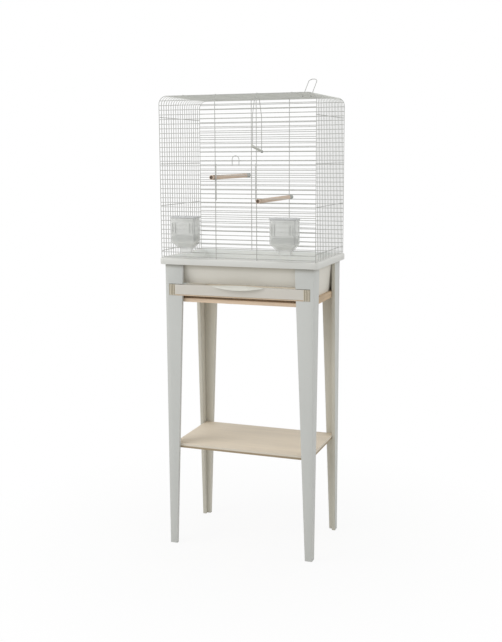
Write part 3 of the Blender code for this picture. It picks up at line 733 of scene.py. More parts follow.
class CageColours(PropertyGroup):
    """Colours of the finishes, as they are seen in plain light."""

    paint: colour_setting("Paint", "White lacquer on legs and drawer", (0.60, 0.61, 0.585))
    raw: colour_setting("Raw board", "Unpainted insides of the legs", (0.60, 0.58, 0.505))
    # A lighter copy of the raw board's colour: painted light on the wide boards' insides
    raw_wide_lit: colour_setting("Raw wide board", "Insides of the wide boards", (0.65, 0.63, 0.555))
    plywood: colour_setting("Plywood", "Face of the shelf and drawer floor", (0.775, 0.685, 0.555))
    ply_dark: colour_setting("Dark ply", "Dark plies at a plywood's edge", (0.36, 0.28, 0.18))
    ply_pale: colour_setting("Pale ply", "Pale plies at the shelf's edge", (0.70, 0.64, 0.54))
    rail: colour_setting("Cross rails", "Raw wood in front and behind", (0.72, 0.56, 0.41))
    side_rail: colour_setting("Side rails", "Raw wood at the sides", (0.57, 0.43, 0.285))
    drawer: colour_setting("Drawer's paint", "Warmer lacquer on the drawer", (0.67, 0.64, 0.58))
    plastic: colour_setting("Plastic", "White plastic of the base's rim", (0.72, 0.72, 0.685))
    wall: colour_setting("Wall", "Outside of the base under the rim", (0.76, 0.735, 0.665))
    # Lighter than the rim's plastic: painted light on the base's inside, which the wires and the
    # rim shade
    inside: colour_setting("Inside", "Inside of the base", (0.87, 0.90, 0.89))
    clear: colour_setting("Clear plastic", "Feeders", (0.86, 0.87, 0.84))
    coat: colour_setting("Wire coat", "Coat of the wires", (0.49, 0.495, 0.47))
    # Paler than the wires' coat: a painted highlight on the roof's hoops, lit from above
    roof: colour_setting("Roof's coat", "Coat of the hoops in the roof", (0.66, 0.67, 0.63))
    # Darker than the wires' coat: painted shade on the hanging loop
    loop: colour_setting("Loop's coat", "Coat of the hanging loop", (0.38, 0.38, 0.36))
    rod: colour_setting("Swing rod", "Pale plastic of the swing's rod", (0.60, 0.61, 0.56))
    rod_end: colour_setting("Rod's end", "Dark end of the swing's rod", (0.15, 0.16, 0.14))
    perch: colour_setting("Perch", "Wood of the perches", (0.68, 0.54, 0.43))
    grey: colour_setting("Grey plastic", "Caps of the perches", (0.42, 0.44, 0.40))
    # Dark brown in the perches' sockets: painted shade in the hollow
    socket: colour_setting("Socket", "Dark inside of the perches' ends", (0.24, 0.18, 0.14))
    # Dark at the tray's lip: painted shade under the lip
    tray: colour_setting("Tray", "Seed tray in the feeders", (0.30, 0.31, 0.29))
    lid: colour_setting("Lid", "Lids of the feeders", (0.64, 0.65, 0.65))
    # Darker than the clear plastic: painted shade on the cups' corners, ribs and underside
    feeder_edge_shade: colour_setting("Feeder's edges", "Thick parts of the cups", (0.53, 0.54, 0.52))
    joint: colour_setting("Joint", "Dark lines at the drawer's ends", (0.36, 0.31, 0.22))
    joint_pale: colour_setting("Pale joint", "Raw fingers at the same ends", (0.68, 0.63, 0.52))
    # Lighter than the drawer's paint: a painted highlight on the pull, whose top faces up into the
    # light
    pull: colour_setting("Pull", "Crescent pull on the drawer", (0.71, 0.70, 0.635))


class CageWires(PropertyGroup):
    """Sizes of the wires."""

    thick: length_setting("Wire", "Thickness of the panels' wires", FRONT_HIGH.y - FRONT_LOW.y)
    upright: length_setting("Upright", "Thickness of the uprights", UPRIGHT_HIGH.y - UPRIGHT_LOW.y)
    weld: length_setting("Weld", "How far crossing wires sink into each other", 0.0004)
    rod_end: length_setting("Rod's end", "Length of the swing rod's dark end", 0.0120)
    fineness: IntProperty(name="Fineness", description="Steps of a wire's round section",
                          default=4, min=1, max=8)


class CageBoards(PropertyGroup):
    """Edges of the wooden boards."""

    edge: length_setting("Edge", "Radius of the boards' sanded edges", 0.0009)
    fine_edge: length_setting("Fine edge", "Radius of the raw wood's edges", 0.0005)
    ply: length_setting("Ply", "Thickness of one ply of the shelf", 0.0058)
    finger: length_setting("Finger", "Spacing of the fingers at the drawer's ends", 0.0046)
    groove: length_setting("Groove", "Width and depth of the joint's grooves", 0.0012)
    seat: length_setting("Seat", "Gap where two boards meet", 0.0003)


class CagePerches(PropertyGroup):
    """Ends of the perches."""

    head: length_setting("Head", "Radius of the end in front of the rows", 0.0058)
    hole: length_setting("Hole", "Radius of the socket in the end", 0.0044)
    hole_deep: length_setting("Hole's depth", "Depth of the socket", 0.0032)
    clear: length_setting("Clearance", "Gap round the rows", 0.0003)


class CageFeeders(PropertyGroup):
    """Sizes of the feeders."""

    wall: length_setting("Wall", "Thickness of the cup's walls", 0.0018)
    corner: length_setting("Corner", "Radius of the cup's upright corners", 0.0080)
    shrink: length_setting("Shrink", "How far the foot draws in", 0.0140)
    taper_tall: length_setting("Taper", "Height of the tapered foot", 0.0160)
    nub_shrink: length_setting("Nub's step", "How far the nub lies inside the foot", 0.0060)
    nub_tall: length_setting("Nub", "Height of the nub under the foot", 0.0130)
    tray_down: length_setting("Tray", "From the cup's edge down to the tray's lip", 0.0480)
    rib: length_setting("Rib", "Width of a rib", 0.0018)
    rib_in: length_setting("Inner ribs", "From the middle to the inner ribs", 0.0210)
    rib_out: length_setting("Outer ribs", "From the middle to the outer ribs", 0.0285)
    rib_top: length_setting("Ribs' top", "From the cup's edge down to the ribs", 0.0120)
    rib_foot: length_setting("Ribs' foot", "From the cup's edge to the ribs' end", 0.0400)
    hook_row: IntProperty(name="Row", description="Row that the hook lies on", default=8)
    hook: length_setting("Hook", "Thickness of the hook", 0.0016)
    hook_half: length_setting("Half hook", "Half the hook's width", 0.0120)
    hook_drop: length_setting("Drop", "How far the hook reaches down", 0.0050)
    lid_edge: length_setting("Lid's edge", "Radius of the lid's edge", 0.0018)
    lid_sunk: length_setting("Sunk", "How deep the lid's middle lies", 0.0010)
    clear: length_setting("Clearance", "Gap to the pieces round a feeder", 0.0003)


class CageBase(PropertyGroup):
    """Sizes of the moulded base."""

    rim_tall: length_setting("Rim", "Height of the rim", 0.0185)
    ledge_x: length_setting("Side ledge", "Width of the rim at the sides", 0.0238)
    ledge_y: length_setting("Front ledge", "Width of the rim in front and behind", 0.0213)
    wall: length_setting("Wall", "Thickness of the walls", 0.0022)
    lean: length_setting("Lean", "How far the walls lean in at the foot", 0.0090)
    front_lean: length_setting("Front lean", "The same at the front wall", 0.0200)
    corner: length_setting("Corner", "Radius of the corners at the foot", 0.0096)
    edge: length_setting("Edge", "Radius of the rim's upper edge", 0.0050)
    fine_edge: length_setting("Fine edge", "Radius of the other edges", 0.0012)
    # The shade under the rim is a painted shadow of the rim's overhang on the wall
    shade_tall: length_setting("Shade", "Height of the dusty line under the rim", 0.0170)
    way_clear_x: length_setting("Side clearance", "Drawer to the cut's sides", 0.0010)
    way_clear_z: length_setting("Clearance above", "Drawer to the cut's top", 0.0025)


class CageCamera(PropertyGroup):
    """The camera, fitted to the photograph's corners."""

    place: FloatVectorProperty(name="Place", description="Where the camera stands",
                               subtype="TRANSLATION", size=3, default=(0.9156, -2.5124, 1.0996))
    yaw: FloatProperty(name="Turn", description="Turn towards the left", subtype="ANGLE",
                       default=math.radians(20.09))
    pitch: FloatProperty(name="Tilt", description="Tilt down", subtype="ANGLE",
                         default=math.radians(9.71))
    roll: FloatProperty(name="Roll", description="Turn about its own axis", subtype="ANGLE",
                        default=math.radians(-0.27))
    lens: FloatProperty(name="Lens", description="Focal length in mm over a 36 mm tall frame",
                        default=54.06)


class CageStage(PropertyGroup):
    """Floor and light."""

    floor: colour_setting("Floor", "Colour of the floor", (0.80, 0.80, 0.79))
    sky: FloatProperty(name="Sky", description="Level of the even light", default=0.58)
    key: FloatProperty(name="Key", description="Watts of the soft light at the front left",
                       default=29.5)
    fill: FloatProperty(name="Fill", description="Watts of the soft light at the right",
                        default=15.5)
    top: FloatProperty(name="Top", description="Watts of the soft light overhead", default=13.0)


GROUPS = {
    "cage_colours": CageColours,
    "cage_wires": CageWires,
    "cage_boards": CageBoards,
    "cage_perches": CagePerches,
    "cage_feeders": CageFeeders,
    "cage_base": CageBase,
    "cage_camera": CageCamera,
    "cage_stage": CageStage,
}


# Places of the wires

def row_height(row):
    """Height of a row of the front and back panels, counted from the bottom."""
    radius = (FRONT_HIGH.y - FRONT_LOW.y) / 2
    foot = FRONT_LOW.z + LOWEST_ROW
    roof = FRONT_HIGH.z - radius
    return foot + (roof - foot) * row / (ROWS - 1)


def hoop_depth(k):
    """Place in depth of a hoop, where 0 is the front panel and HOOP_GAPS the back panel."""
    front = (FRONT_LOW.y + FRONT_HIGH.y) / 2
    back = (BACK_LOW.y + BACK_HIGH.y) / 2
    return front + (back - front) * k / HOOP_GAPS


def made_once(name, make):
    """A material by name, made the first time that it is asked for."""
    return bpy.data.materials.get(name) or make(name)


def wire_coat():
    """The coat that most wires share."""
    colour = bpy.context.scene.cage_colours.coat
    return made_once("wire_coat", lambda name: coated_wire(name, colour))


def row_step():
    """Height from one row of the panels to the next."""
    return row_height(1) - row_height(0)


class CAGE_OT_end_panels(Operator):
    """Front and back panels: rows of wires welded into a bent frame wire"""

    bl_idname = "cage.end_panels"
    bl_label = "Front and back panels"

    def execute(self, context):
        sizes = context.scene.cage_wires
        thick = sizes.thick
        radius = thick / 2
        out = FRONT_HIGH.x - radius
        roof = row_height(ROWS - 1)
        foot = FRONT_LOW.z - radius
        step = (0, 0, row_step())
        stop = UPRIGHT_HIGH.x
        for name, nodes, y, has_door in (
            ("front_rows", FRONT_PANEL, hoop_depth(0), True),
            ("back_rows", ("back_panel",), hoop_depth(HOOP_GAPS), False),
        ):
            corners = [(-out, y, foot), (-out, y, roof), (out, y, roof), (out, y, foot)]
            parts = [wire(name, corners, thick, CAGE_CORNER, FRAME_STEPS, sizes.fineness)]
            first, last = DOOR_ROWS
            spans = [(0, first, -out, out), (last + 1, ROWS - 1, -out, out)]
            if has_door:
                spans += [(first, last + 1, -out, stop), (first, last + 1, -stop, out)]
            else:
                spans += [(first, last + 1, -out, out)]
            for low, high, left, right in spans:
                points = [(left, y, row_height(low)), (right, y, row_height(low))]
                row = wire(name, points, thick, fineness=sizes.fineness, blunt=0)
                in_a_row(row, high - low, step)
                parts.append(row)
            for row in parts[1:]:
                self.shorten(row, out, roof)
            whole = join(name, parts)
            smooth(whole, WIRE_SHARP)
            hand_over(whole, wire_coat(), "white_wire", "stand", *nodes)
        return {"FINISHED"}

    def shorten(self, row, out, roof):
        """Draws the ends of the topmost rows in, where the frame wire bends."""
        start = roof - CAGE_CORNER
        for vert in row.data.vertices:
            rise = vert.co.z - start
            if rise > 0 and abs(vert.co.x) > out - CAGE_CORNER:
                turned = CAGE_CORNER - math.sqrt(max(CAGE_CORNER ** 2 - rise ** 2, 0))
                vert.co.x -= math.copysign(turned, vert.co.x)


class CAGE_OT_uprights(Operator):
    """The four thicker uprights in front of the rows"""

    bl_idname = "cage.uprights"
    bl_label = "Uprights"

    def execute(self, context):
        sizes = context.scene.cage_wires
        for panel, side in (("front_panel", -1), ("back_panel", 1)):
            for hand in ("left", "right"):
                node = f"{panel}_{hand}_upright"
                low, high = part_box(node)
                x = (low.x + high.x) / 2
                y = (low.y + high.y) / 2 - side * sizes.weld
                points = [(x, y, low.z), (x, y, high.z)]
                piece = wire(f"{node}_wire", points, sizes.upright, fineness=sizes.fineness + 1)
                hand_over(piece, wire_coat(), "white_wire", "stand", node)
        return {"FINISHED"}


class CAGE_OT_hoops(Operator):
    """The bent hoops of the sides and roof, with their cross wires"""

    bl_idname = "cage.hoops"
    bl_label = "Hoops"

    def execute(self, context):
        sizes = context.scene.cage_wires
        thick = sizes.thick
        radius = thick / 2
        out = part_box("right_side_panel")[1].x - radius
        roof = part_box("roof_panel")[1].z - radius
        foot = FRONT_LOW.z - radius
        y = hoop_depth(1)
        corners = [(-out, y, foot), (-out, y, roof), (out, y, roof), (out, y, foot)]
        hoops = wire("hoops", corners, thick, CAGE_CORNER, FRAME_STEPS, sizes.fineness, 0)
        in_a_row(hoops, HOOP_GAPS - 1, (0, hoop_depth(1) - hoop_depth(0), 0))
        layer = thick - sizes.weld
        near = hoop_depth(0) + thick
        far = hoop_depth(HOOP_GAPS) - thick
        crosses = []
        for side in (-1, 1):
            crosses += [(side * (out - layer), row_height(row)) for row in SIDE_CROSS_ROWS]
            crosses += [(side * x, roof + layer) for x in ROOF_CROSS_X]
        parts = [hoops]
        for x, z in crosses:
            points = [(x, near, z), (x, far, z)]
            parts.append(wire("hoops", points, thick, fineness=sizes.fineness))
        whole = join("hoops", parts)
        smooth(whole, WIRE_SHARP)
        nodes = ("left_side_panel", "right_side_panel", "roof_panel")
        colours = context.scene.cage_colours
        # The hoops get a painted highlight above the roof's bends
        bend = (roof - CAGE_CORNER, roof - CAGE_CORNER / 3)
        coat = coated_wire("hoop_coat", colours.coat, colours.roof, bend)
        hand_over(whole, coat, "white_wire", "stand", *nodes)
        return {"FINISHED"}


class CAGE_OT_door(Operator):
    """The sliding door and its finger loop"""

    bl_idname = "cage.door"
    bl_label = "Sliding door"

    def execute(self, context):
        sizes = context.scene.cage_wires
        thick = sizes.thick
        radius = thick / 2
        low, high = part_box("door")
        y = (low.y + high.y) / 2
        side = high.x - radius
        parts = []
        for x in (-side, side):
            points = [(x, y, low.z), (x, y, high.z)]
            parts.append(wire("door_wires", points, thick, fineness=sizes.fineness))
        first, last = DOOR_ROWS
        points = [(-side, y, row_height(first)), (side, y, row_height(first))]
        row = wire("door_wires", points, thick, fineness=sizes.fineness, blunt=0)
        in_a_row(row, last - first + 1, (0, 0, row_step()))
        whole = join("door_wires", [*parts, row])
        hand_over(whole, wire_coat(), "white_wire", "sliding_door", "door")

        low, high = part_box("door_finger_loop")
        half = high.x - radius
        foot, top = low.z - radius, high.z - radius
        corners = [(-half, y, foot), (-half, y, top), (half, y, top), (half, y, foot)]
        loop = wire("door_loop_wire", corners, thick, half * FULL_BEND, FRAME_STEPS,
                    sizes.fineness, 0)
        hand_over(loop, wire_coat(), "white_wire", "sliding_door", "door_finger_loop")
        return {"FINISHED"}


class CAGE_OT_swing(Operator):
    """The swing: two bent wires over hoops of the roof, and a rod"""

    bl_idname = "cage.swing"
    bl_label = "Swing"

    def execute(self, context):
        sizes = context.scene.cage_wires
        thick = sizes.thick
        centre_x = sum(corner.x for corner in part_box("swing_rod")) / 2
        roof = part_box("roof_panel")[1].z - thick / 2
        hook = thick + SWING_HOOK_CLEAR
        colours = context.scene.cage_colours
        for side, where in ((-1, "front"), (1, "back")):
            node = f"swing_{where}_wire"
            low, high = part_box(node)
            hoop = hoop_depth(HOOP_GAPS // 2 + side)
            end = (low.y if side < 0 else high.y) - side * thick / 2
            corners = [
                (centre_x, hoop - side * hook, roof - hook),
                (centre_x, hoop - side * hook, roof + hook),
                (centre_x, hoop + side * hook, roof + hook),
                (centre_x, hoop + side * hook, roof - hook),
                (centre_x, end, roof - SWING_SHOULDER),
                (centre_x, end, low.z - thick),
            ]
            bends = [hook * FULL_BEND, hook * FULL_BEND, thick, SWING_BEND]
            piece = wire(f"{node}_bent", corners, thick, bends, CORNER_STEPS, sizes.fineness)
            hand_over(piece, wire_coat(), "white_wire", "swing", node)
        rod = solid_copy("swing_rod", "swing_rod_bar")
        low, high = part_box("swing_rod")
        slice_piece(rod, (centre_x, high.y - sizes.rod_end, high.z), (0, 1, 0))
        pick(rod, "EDGE", lambda start, end: abs(start.y - end.y) > sizes.rod_end / 2)
        bpy.ops.mesh.bevel(offset=ROD_RIDGE, offset_type="OFFSET", segments=3, affect="EDGES")
        object_mode()
        soften(rod, ROD_EDGE, 3, WIRE_SHARP)
        pale = moulded_plastic("rod_plastic", colours.rod, SATIN, 0.06)
        dark = moulded_plastic("rod_end_plastic", colours.rod_end, 0.5, 0.06)
        hand_over(rod, (pale, dark), "grey_plastic", "swing", "swing_rod")
        sort_faces(rod, lambda face: face.center.y > high.y - sizes.rod_end)
        return {"FINISHED"}


class CAGE_OT_hanging_loop(Operator):
    """The loop that the cage hangs by, turned round the roof's middle hoop"""

    bl_idname = "cage.hanging_loop"
    bl_label = "Hanging loop"

    def execute(self, context):
        sizes = context.scene.cage_wires
        thick = sizes.thick
        radius = thick / 2
        low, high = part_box("hanging_loop")
        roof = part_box("roof_panel")[1].z - radius
        pivot = Vector(((low.x + high.x) / 2, hoop_depth(HOOP_GAPS // 2), roof))
        half = high.x - radius - pivot.x
        reach = Vector((0, high.y - radius - pivot.y, high.z - radius - pivot.z))
        long = reach.length
        lean = math.atan2(reach.y, reach.z)
        turns = [math.radians(angle) for angle in range(270, -1, -30)]
        ring = [(LOOP_EYE * math.cos(turn), -LOOP_EYE * math.sin(turn)) for turn in turns]
        flat = [(-half, y, z) for y, z in ring]
        flat += [(-half, 0, long), (half, 0, long)]
        flat += [(half, y, z) for y, z in reversed(ring)]
        corners = [pivot + Matrix.Rotation(-lean, 3, "X") @ Vector(point) for point in flat]
        unbent = [0] * (len(ring) - 1)
        bends = [*unbent, half * FULL_BEND, half * FULL_BEND, *unbent]
        loop = wire("hanging_loop_wire", corners, thick, bends, FRAME_STEPS, sizes.fineness)
        # The hanging loop gets a darker copy of the coat as painted shade
        coat = coated_wire("loop_coat", context.scene.cage_colours.loop)
        hand_over(loop, coat, "white_wire", "bail", "hanging_loop")
        return {"FINISHED"}


class CAGE_OT_perches(Operator):
    """Two dowels between the rows, with a socket in front painted dark as shade, and a grey cap
    behind
    """

    bl_idname = "cage.perches"
    bl_label = "Perches"

    def execute(self, context):
        colours = context.scene.cage_colours
        sizes = context.scene.cage_perches
        wood = plain_timber("perch_wood", colours.perch, "Y", 0.2, 300)
        # The socket's dark colour is painted shade in the hollow of the perch's end
        dark = raw_board("perch_socket", colours.socket, "Y")
        grey = made_once("grey_plastic",
                         lambda name: moulded_plastic(name, colours.grey, SATIN, 0.06))
        thin = (row_step() - context.scene.cage_wires.thick) / 2 - sizes.clear
        for hand in ("left", "right"):
            low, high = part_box(f"{hand}_perch")
            thick = (high.z - low.z) / 2
            centre = ((low.x + high.x) / 2, (low.z + high.z) / 2)
            near = FRONT_LOW.y - sizes.clear
            far = FRONT_HIGH.y + sizes.clear
            hole = sizes.hole
            stations = [(low.y + sizes.hole_deep, hole), (low.y, hole), (low.y, sizes.head),
                        (near, sizes.head), (near, thin), (far, thin), (far, thick),
                        (high.y, thick)]
            bar = turned_bar(f"{hand}_perch_dowel", centre, stations)
            soften(bar, DOWEL_EDGE, 2)
            hand_over(bar, (wood, dark), "perch_wood", "stand", f"{hand}_perch")
            middle = Vector(centre)
            sort_faces(bar, lambda face: (face.center.xz - middle).length < hole * 1.02)

            low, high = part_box(f"{hand}_perch_cap")
            far = BACK_LOW.y - sizes.clear
            stations = [(low.y, thick), (far, thick), (far, thin), (high.y, thin)]
            cap = turned_bar(f"{hand}_perch_sleeve", centre, stations)
            soften(cap, CAP_EDGE, 3)
            hand_over(cap, grey, "grey_plastic", "stand", f"{hand}_perch_cap")
        return {"FINISHED"}


class CAGE_OT_feeders(Operator):
    """Two clear cups on the front panel, each with its lid"""

    bl_idname = "cage.feeders"
    bl_label = "Feeders"

    def execute(self, context):
        colours = context.scene.cage_colours
        sizes = context.scene.cage_feeders
        front = clear_plastic("clear_front", colours.clear, COVER_FRONT)
        side = clear_plastic("clear_side", colours.clear, COVER_SIDE)
        # Darker plastic for the cups' corners, ribs and underside: painted shade
        edge = clear_plastic("clear_edge", colours.feeder_edge_shade, COVER_EDGE)
        cover = clear_plastic("clear_lid", colours.lid, COVER_LID)
        tray_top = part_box("left_feeder_cup")[1].z - sizes.tray_down
        shaded_tray = tray_plastic("feeder_tray_plastic", colours.tray, colours.clear,
                             tray_top, sizes.taper_tall)
        for hand in ("left", "right"):
            low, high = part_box(f"{hand}_feeder_cup")
            back = FRONT_LOW.y - sizes.clear
            centre = ((low.x + high.x) / 2, (low.y + back) / 2)
            half = ((high.x - low.x) / 2, (back - low.y) / 2)
            tray = self.tray(f"{hand}_feeder_tray", centre, half, low.z, high.z)
            hand_over(tray, shaded_tray, "clear_plastic", f"{hand}_feeder")
            cup = self.cup(f"{hand}_feeder_body", centre, half, low.z, high.z)
            parts = [cup, *self.ribs(centre, low.y, high.z), *self.hook(centre, back, high.y)]
            cup = join(f"{hand}_feeder_body", parts)
            looks = (front, side, edge)
            hand_over(cup, looks, "clear_plastic", f"{hand}_feeder", f"{hand}_feeder_cup")
            self.dress(cup, low, sizes.rib / 4)
            low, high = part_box(f"{hand}_feeder_lid")
            lid = self.lid(f"{hand}_feeder_cover", centre, half, low, high)
            hand_over(lid, cover, "clear_plastic", f"{hand}_lid", f"{hand}_feeder_lid")
        return {"FINISHED"}

    def dress(self, cup, low, near):
        """Darker, denser plastic on the cup's upright corners, ribs and underside as painted
        shade, clearer elsewhere.
        """

        def choose(face):
            x, y, z = face.normal
            corner = abs(z) < 0.3 and abs(x) > 0.6 and abs(y) > 0.6
            in_front = face.center.y - low.y
            rib = in_front < near and (abs(x) > 0.5 or in_front < -near / 2)
            under = z < -FACING and face.center.z > low.z + near
            return 2 if corner or rib or under else y > -0.6

        sort_faces(cup, choose)

    def cup(self, name, centre, half, foot, top):
        """The hollow cup: nub, tapered foot and straight walls, up outside and down inside."""
        sizes = bpy.context.scene.cage_feeders
        wall = sizes.wall
        shrink = sizes.shrink

        def at_foot(inset, z):
            return (half[0] - shrink - inset, half[1] - shrink / 2 - inset, z, shrink / 2)

        def above(inset, z):
            return (half[0] - inset, half[1] - inset, z, 0)

        floor = foot + sizes.nub_tall
        bend = floor + sizes.taper_tall
        levels = [at_foot(sizes.nub_shrink, foot), at_foot(sizes.nub_shrink, floor),
                  at_foot(0, floor), above(CUP_BEND, bend - CUP_BEND), above(0, bend + CUP_BEND),
                  above(0, top), above(wall, top), above(wall, bend), at_foot(wall, floor + wall)]
        piece = turned_body(name, levels, sizes.corner / 2, centre, CORNER_STEPS)
        soften(piece, CUP_EDGE, 2, PLASTIC_SHARP)
        return piece

    def tray(self, name, centre, half, foot, top):
        """The seed tray in the cup, with its lip, which shows through the plastic."""
        sizes = bpy.context.scene.cage_feeders
        floor = foot + sizes.nub_tall + sizes.wall * TRAY_UP
        rim = top - sizes.tray_down
        inset = sizes.wall * TRAY_IN
        wide = half[0] - inset
        deep = half[1] - inset
        low = (wide - sizes.shrink, deep - sizes.shrink / 2, floor, sizes.shrink / 2)
        bend = floor + sizes.taper_tall
        levels = [low, (wide, deep, bend, 0), (wide, deep, rim, 0)]
        for z in (rim, rim - TRAY_LIP_DEEP):
            levels.append((wide - TRAY_LIP, deep - TRAY_LIP, z, 0))
        piece = turned_body(name, levels, sizes.corner / 2, centre, 4)
        soften(piece, CUP_EDGE, 2, PLASTIC_SHARP)
        return piece

    def ribs(self, centre, front, top):
        """Short upright ribs on the cup's front."""
        sizes = bpy.context.scene.cage_feeders
        parts = []
        for offset in (-sizes.rib_out, -sizes.rib_in, sizes.rib_in, sizes.rib_out):
            x = centre[0] + offset
            rib = block("rib", (x - sizes.rib / 2, front - sizes.rib / 2, top - sizes.rib_foot),
                        (x + sizes.rib / 2, front + sizes.rib / 2, top - sizes.rib_top))
            soften(rib, sizes.rib * RIB_ROUND, 3)
            parts.append(rib)
        return parts

    def hook(self, centre, back, end):
        """The strap that hooks over a row of the front panel."""
        sizes = bpy.context.scene.cage_feeders
        over = row_height(sizes.hook_row) + bpy.context.scene.cage_wires.thick / 2 + sizes.clear
        wide = sizes.hook_half
        left, right = centre[0] - wide, centre[0] + wide
        thick = sizes.hook
        strap = block("hook", (left, back - sizes.wall / 2, over), (right, end, over + thick))
        drop = block("hook", (left, end - thick, over - sizes.hook_drop),
                     (right, end, over + thick / 2))
        for part in (strap, drop):
            soften(part, THIN_EDGE, 2)
        return strap, drop

    def lid(self, name, centre, half, low, high):
        """The lid: a plug in the cup, a rounded cover over its edge, sunk in the middle."""
        sizes = bpy.context.scene.cage_feeders
        inset = sizes.wall + sizes.clear
        plug = (half[0] - inset, half[1] - inset)
        seat = low.z + sizes.wall
        proud = (high.x - low.x) / 2 - half[0]
        edge = sizes.lid_edge
        wide = half[0] + proud
        deep = half[1] + proud / 2
        move = -proud / 2
        levels = [(*plug, low.z, 0), (*plug, seat, 0), (wide, deep, seat, move),
                  (wide, deep, high.z - edge, move)]
        for k in (1, 2, 3):
            angle = math.pi / 6 * k
            pull = edge * (1 - math.cos(angle))
            levels.append((wide - pull, deep - pull, high.z - edge * (1 - math.sin(angle)), move))
        rim = edge * LID_RIM
        levels.append((wide - rim, deep - rim, high.z, move))
        dip = rim * LID_DIP
        levels.append((wide - dip, deep - dip, high.z - sizes.lid_sunk, move))
        piece = turned_body(name, levels, sizes.corner, centre, CORNER_STEPS)
        soften(piece, THIN_EDGE, 2, PLASTIC_SHARP)
        return piece


class CAGE_OT_base(Operator):
    """The moulded base and the corner clip"""

    bl_idname = "cage.base"
    bl_label = "Base"

    def execute(self, context):
        colours = context.scene.cage_colours
        sizes = context.scene.cage_base
        white = moulded_plastic("white_plastic", colours.plastic)
        under = RIM_HIGH.z - sizes.rim_tall
        # The wall under the rim gets a painted shadow of the rim's overhang
        outside = moulded_plastic("base_wall", colours.wall, top=under,
                                  shadow_tall=sizes.shade_tall)
        # The base's inside is a lighter copy of the plastic, as painted light
        inside = moulded_plastic("base_inside", colours.inside)
        base = self.tray(sizes)
        hand_over(base, (white, outside, inside), "white_plastic", "stand", "base")
        middle = (RIM_LOW + RIM_HIGH) / 2

        def choose(face):
            inwards = (middle - face.center).xy.dot(face.normal.xy) > 0.001
            return 2 if inwards else face.center.z < under - sizes.fine_edge / 4

        sort_faces(base, choose)
        dress_solid("corner_clip", "corner_catch", white, "white_plastic", "stand", CLIP_EDGE,
                    angle=THIN_SHARP)
        return {"FINISHED"}

    def tray(self, sizes):
        """The base: up the leaning walls, out and round the rim, and down the inside."""
        middle = (RIM_LOW + RIM_HIGH) / 2
        out_x = RIM_HIGH.x
        out_y = RIM_HIGH.y - middle.y
        in_x = out_x - sizes.ledge_x
        in_y = out_y - sizes.ledge_y
        foot, top = RIM_LOW.z, RIM_HIGH.z
        under = top - sizes.rim_tall
        more = (sizes.front_lean - sizes.lean) / 2

        def at_foot(inset):
            return (in_x - inset - sizes.lean, in_y - inset - sizes.lean - more, foot, more)

        def at_rim(pull, z):
            return (out_x - pull, out_y - pull, z, 0)

        fine = sizes.fine_edge
        levels = [at_foot(0), (in_x, in_y, under, 0), at_rim(fine, under),
                  at_rim(fine * 0.3, under + fine * 0.3), at_rim(0, under + fine)]
        for k in range(CORNER_STEPS + 1):
            angle = math.pi / 2 * k / CORNER_STEPS
            rise = sizes.edge * (1 - math.sin(angle))
            levels.append(at_rim(sizes.edge * (1 - math.cos(angle)), top - rise))
        wall = sizes.wall
        levels.append((in_x - wall + fine, in_y - wall + fine, top, 0))
        levels.append((in_x - wall, in_y - wall, top - fine, 0))
        levels.append(at_foot(wall))
        piece = turned_body("base_tray", levels, sizes.corner, middle.xy, FRAME_STEPS)

        def at_the_foot(place, normal):
            return abs(place.z - foot) < fine / 4 and abs(normal.z) > FACING

        pick(piece, "FACE", at_the_foot)
        bpy.ops.mesh.delete(type="ONLY_FACE")
        object_mode()
        pick(piece, "EDGE", lambda start, end: max(start.z, end.z) < foot + fine / 4)
        bpy.ops.mesh.bridge_edge_loops()
        object_mode()
        tidy(piece)
        way_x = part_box("drawer_floor")[1].x + sizes.way_clear_x
        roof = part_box("drawer_front")[1].z + sizes.way_clear_z
        way = block("drawer_way", (-way_x, RIM_LOW.y, foot - wall),
                    (way_x, middle.y - in_y / 2, roof))
        apply_modifier(piece, "BOOLEAN", object=way, operation="DIFFERENCE", solver="EXACT")
        bpy.data.objects.remove(way)
        smooth(piece, PLASTIC_SHARP)
        return piece


class CAGE_OT_legs(Operator):
    """Eight leg boards, painted outside and raw inside"""

    bl_idname = "cage.legs"
    bl_label = "Legs"

    def execute(self, context):
        colours = context.scene.cage_colours
        edge = context.scene.cage_boards.edge
        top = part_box("leg_front_left_wide_board")[1].z
        # The legs' tops get a painted shadow of the base's rim, which overhangs them
        paint = painted_wood("leg_paint", colours.paint, "Z", top=top)
        # The wide boards' insides get a lighter copy of the raw colour as painted light
        raw = {"side": raw_board("side_board_inside", colours.raw, "Z"),
               "wide": raw_board("wide_board_inside", colours.raw_wide_lit, "Z")}
        for where, side_y in (("front", -1), ("back", 1)):
            for hand, side_x in (("left", -1), ("right", 1)):
                boards = (("wide", "y", side_y, "x", side_x), ("side", "x", side_x, "y", side_y))
                for board, through, outwards, across, free_end in boards:

                    def choose(face):
                        inside = getattr(face.normal, through) * outwards < -0.99
                        free = getattr(face.normal, across) * free_end < -FACING
                        return inside or (free and where == "back")

                    node = f"leg_{where}_{hand}_{board}_board"
                    piece = dress_solid(node, f"{node}_dressed", (paint, raw[board]),
                                        "white_wood", "stand", edge)
                    sort_faces(piece, choose)
        return {"FINISHED"}


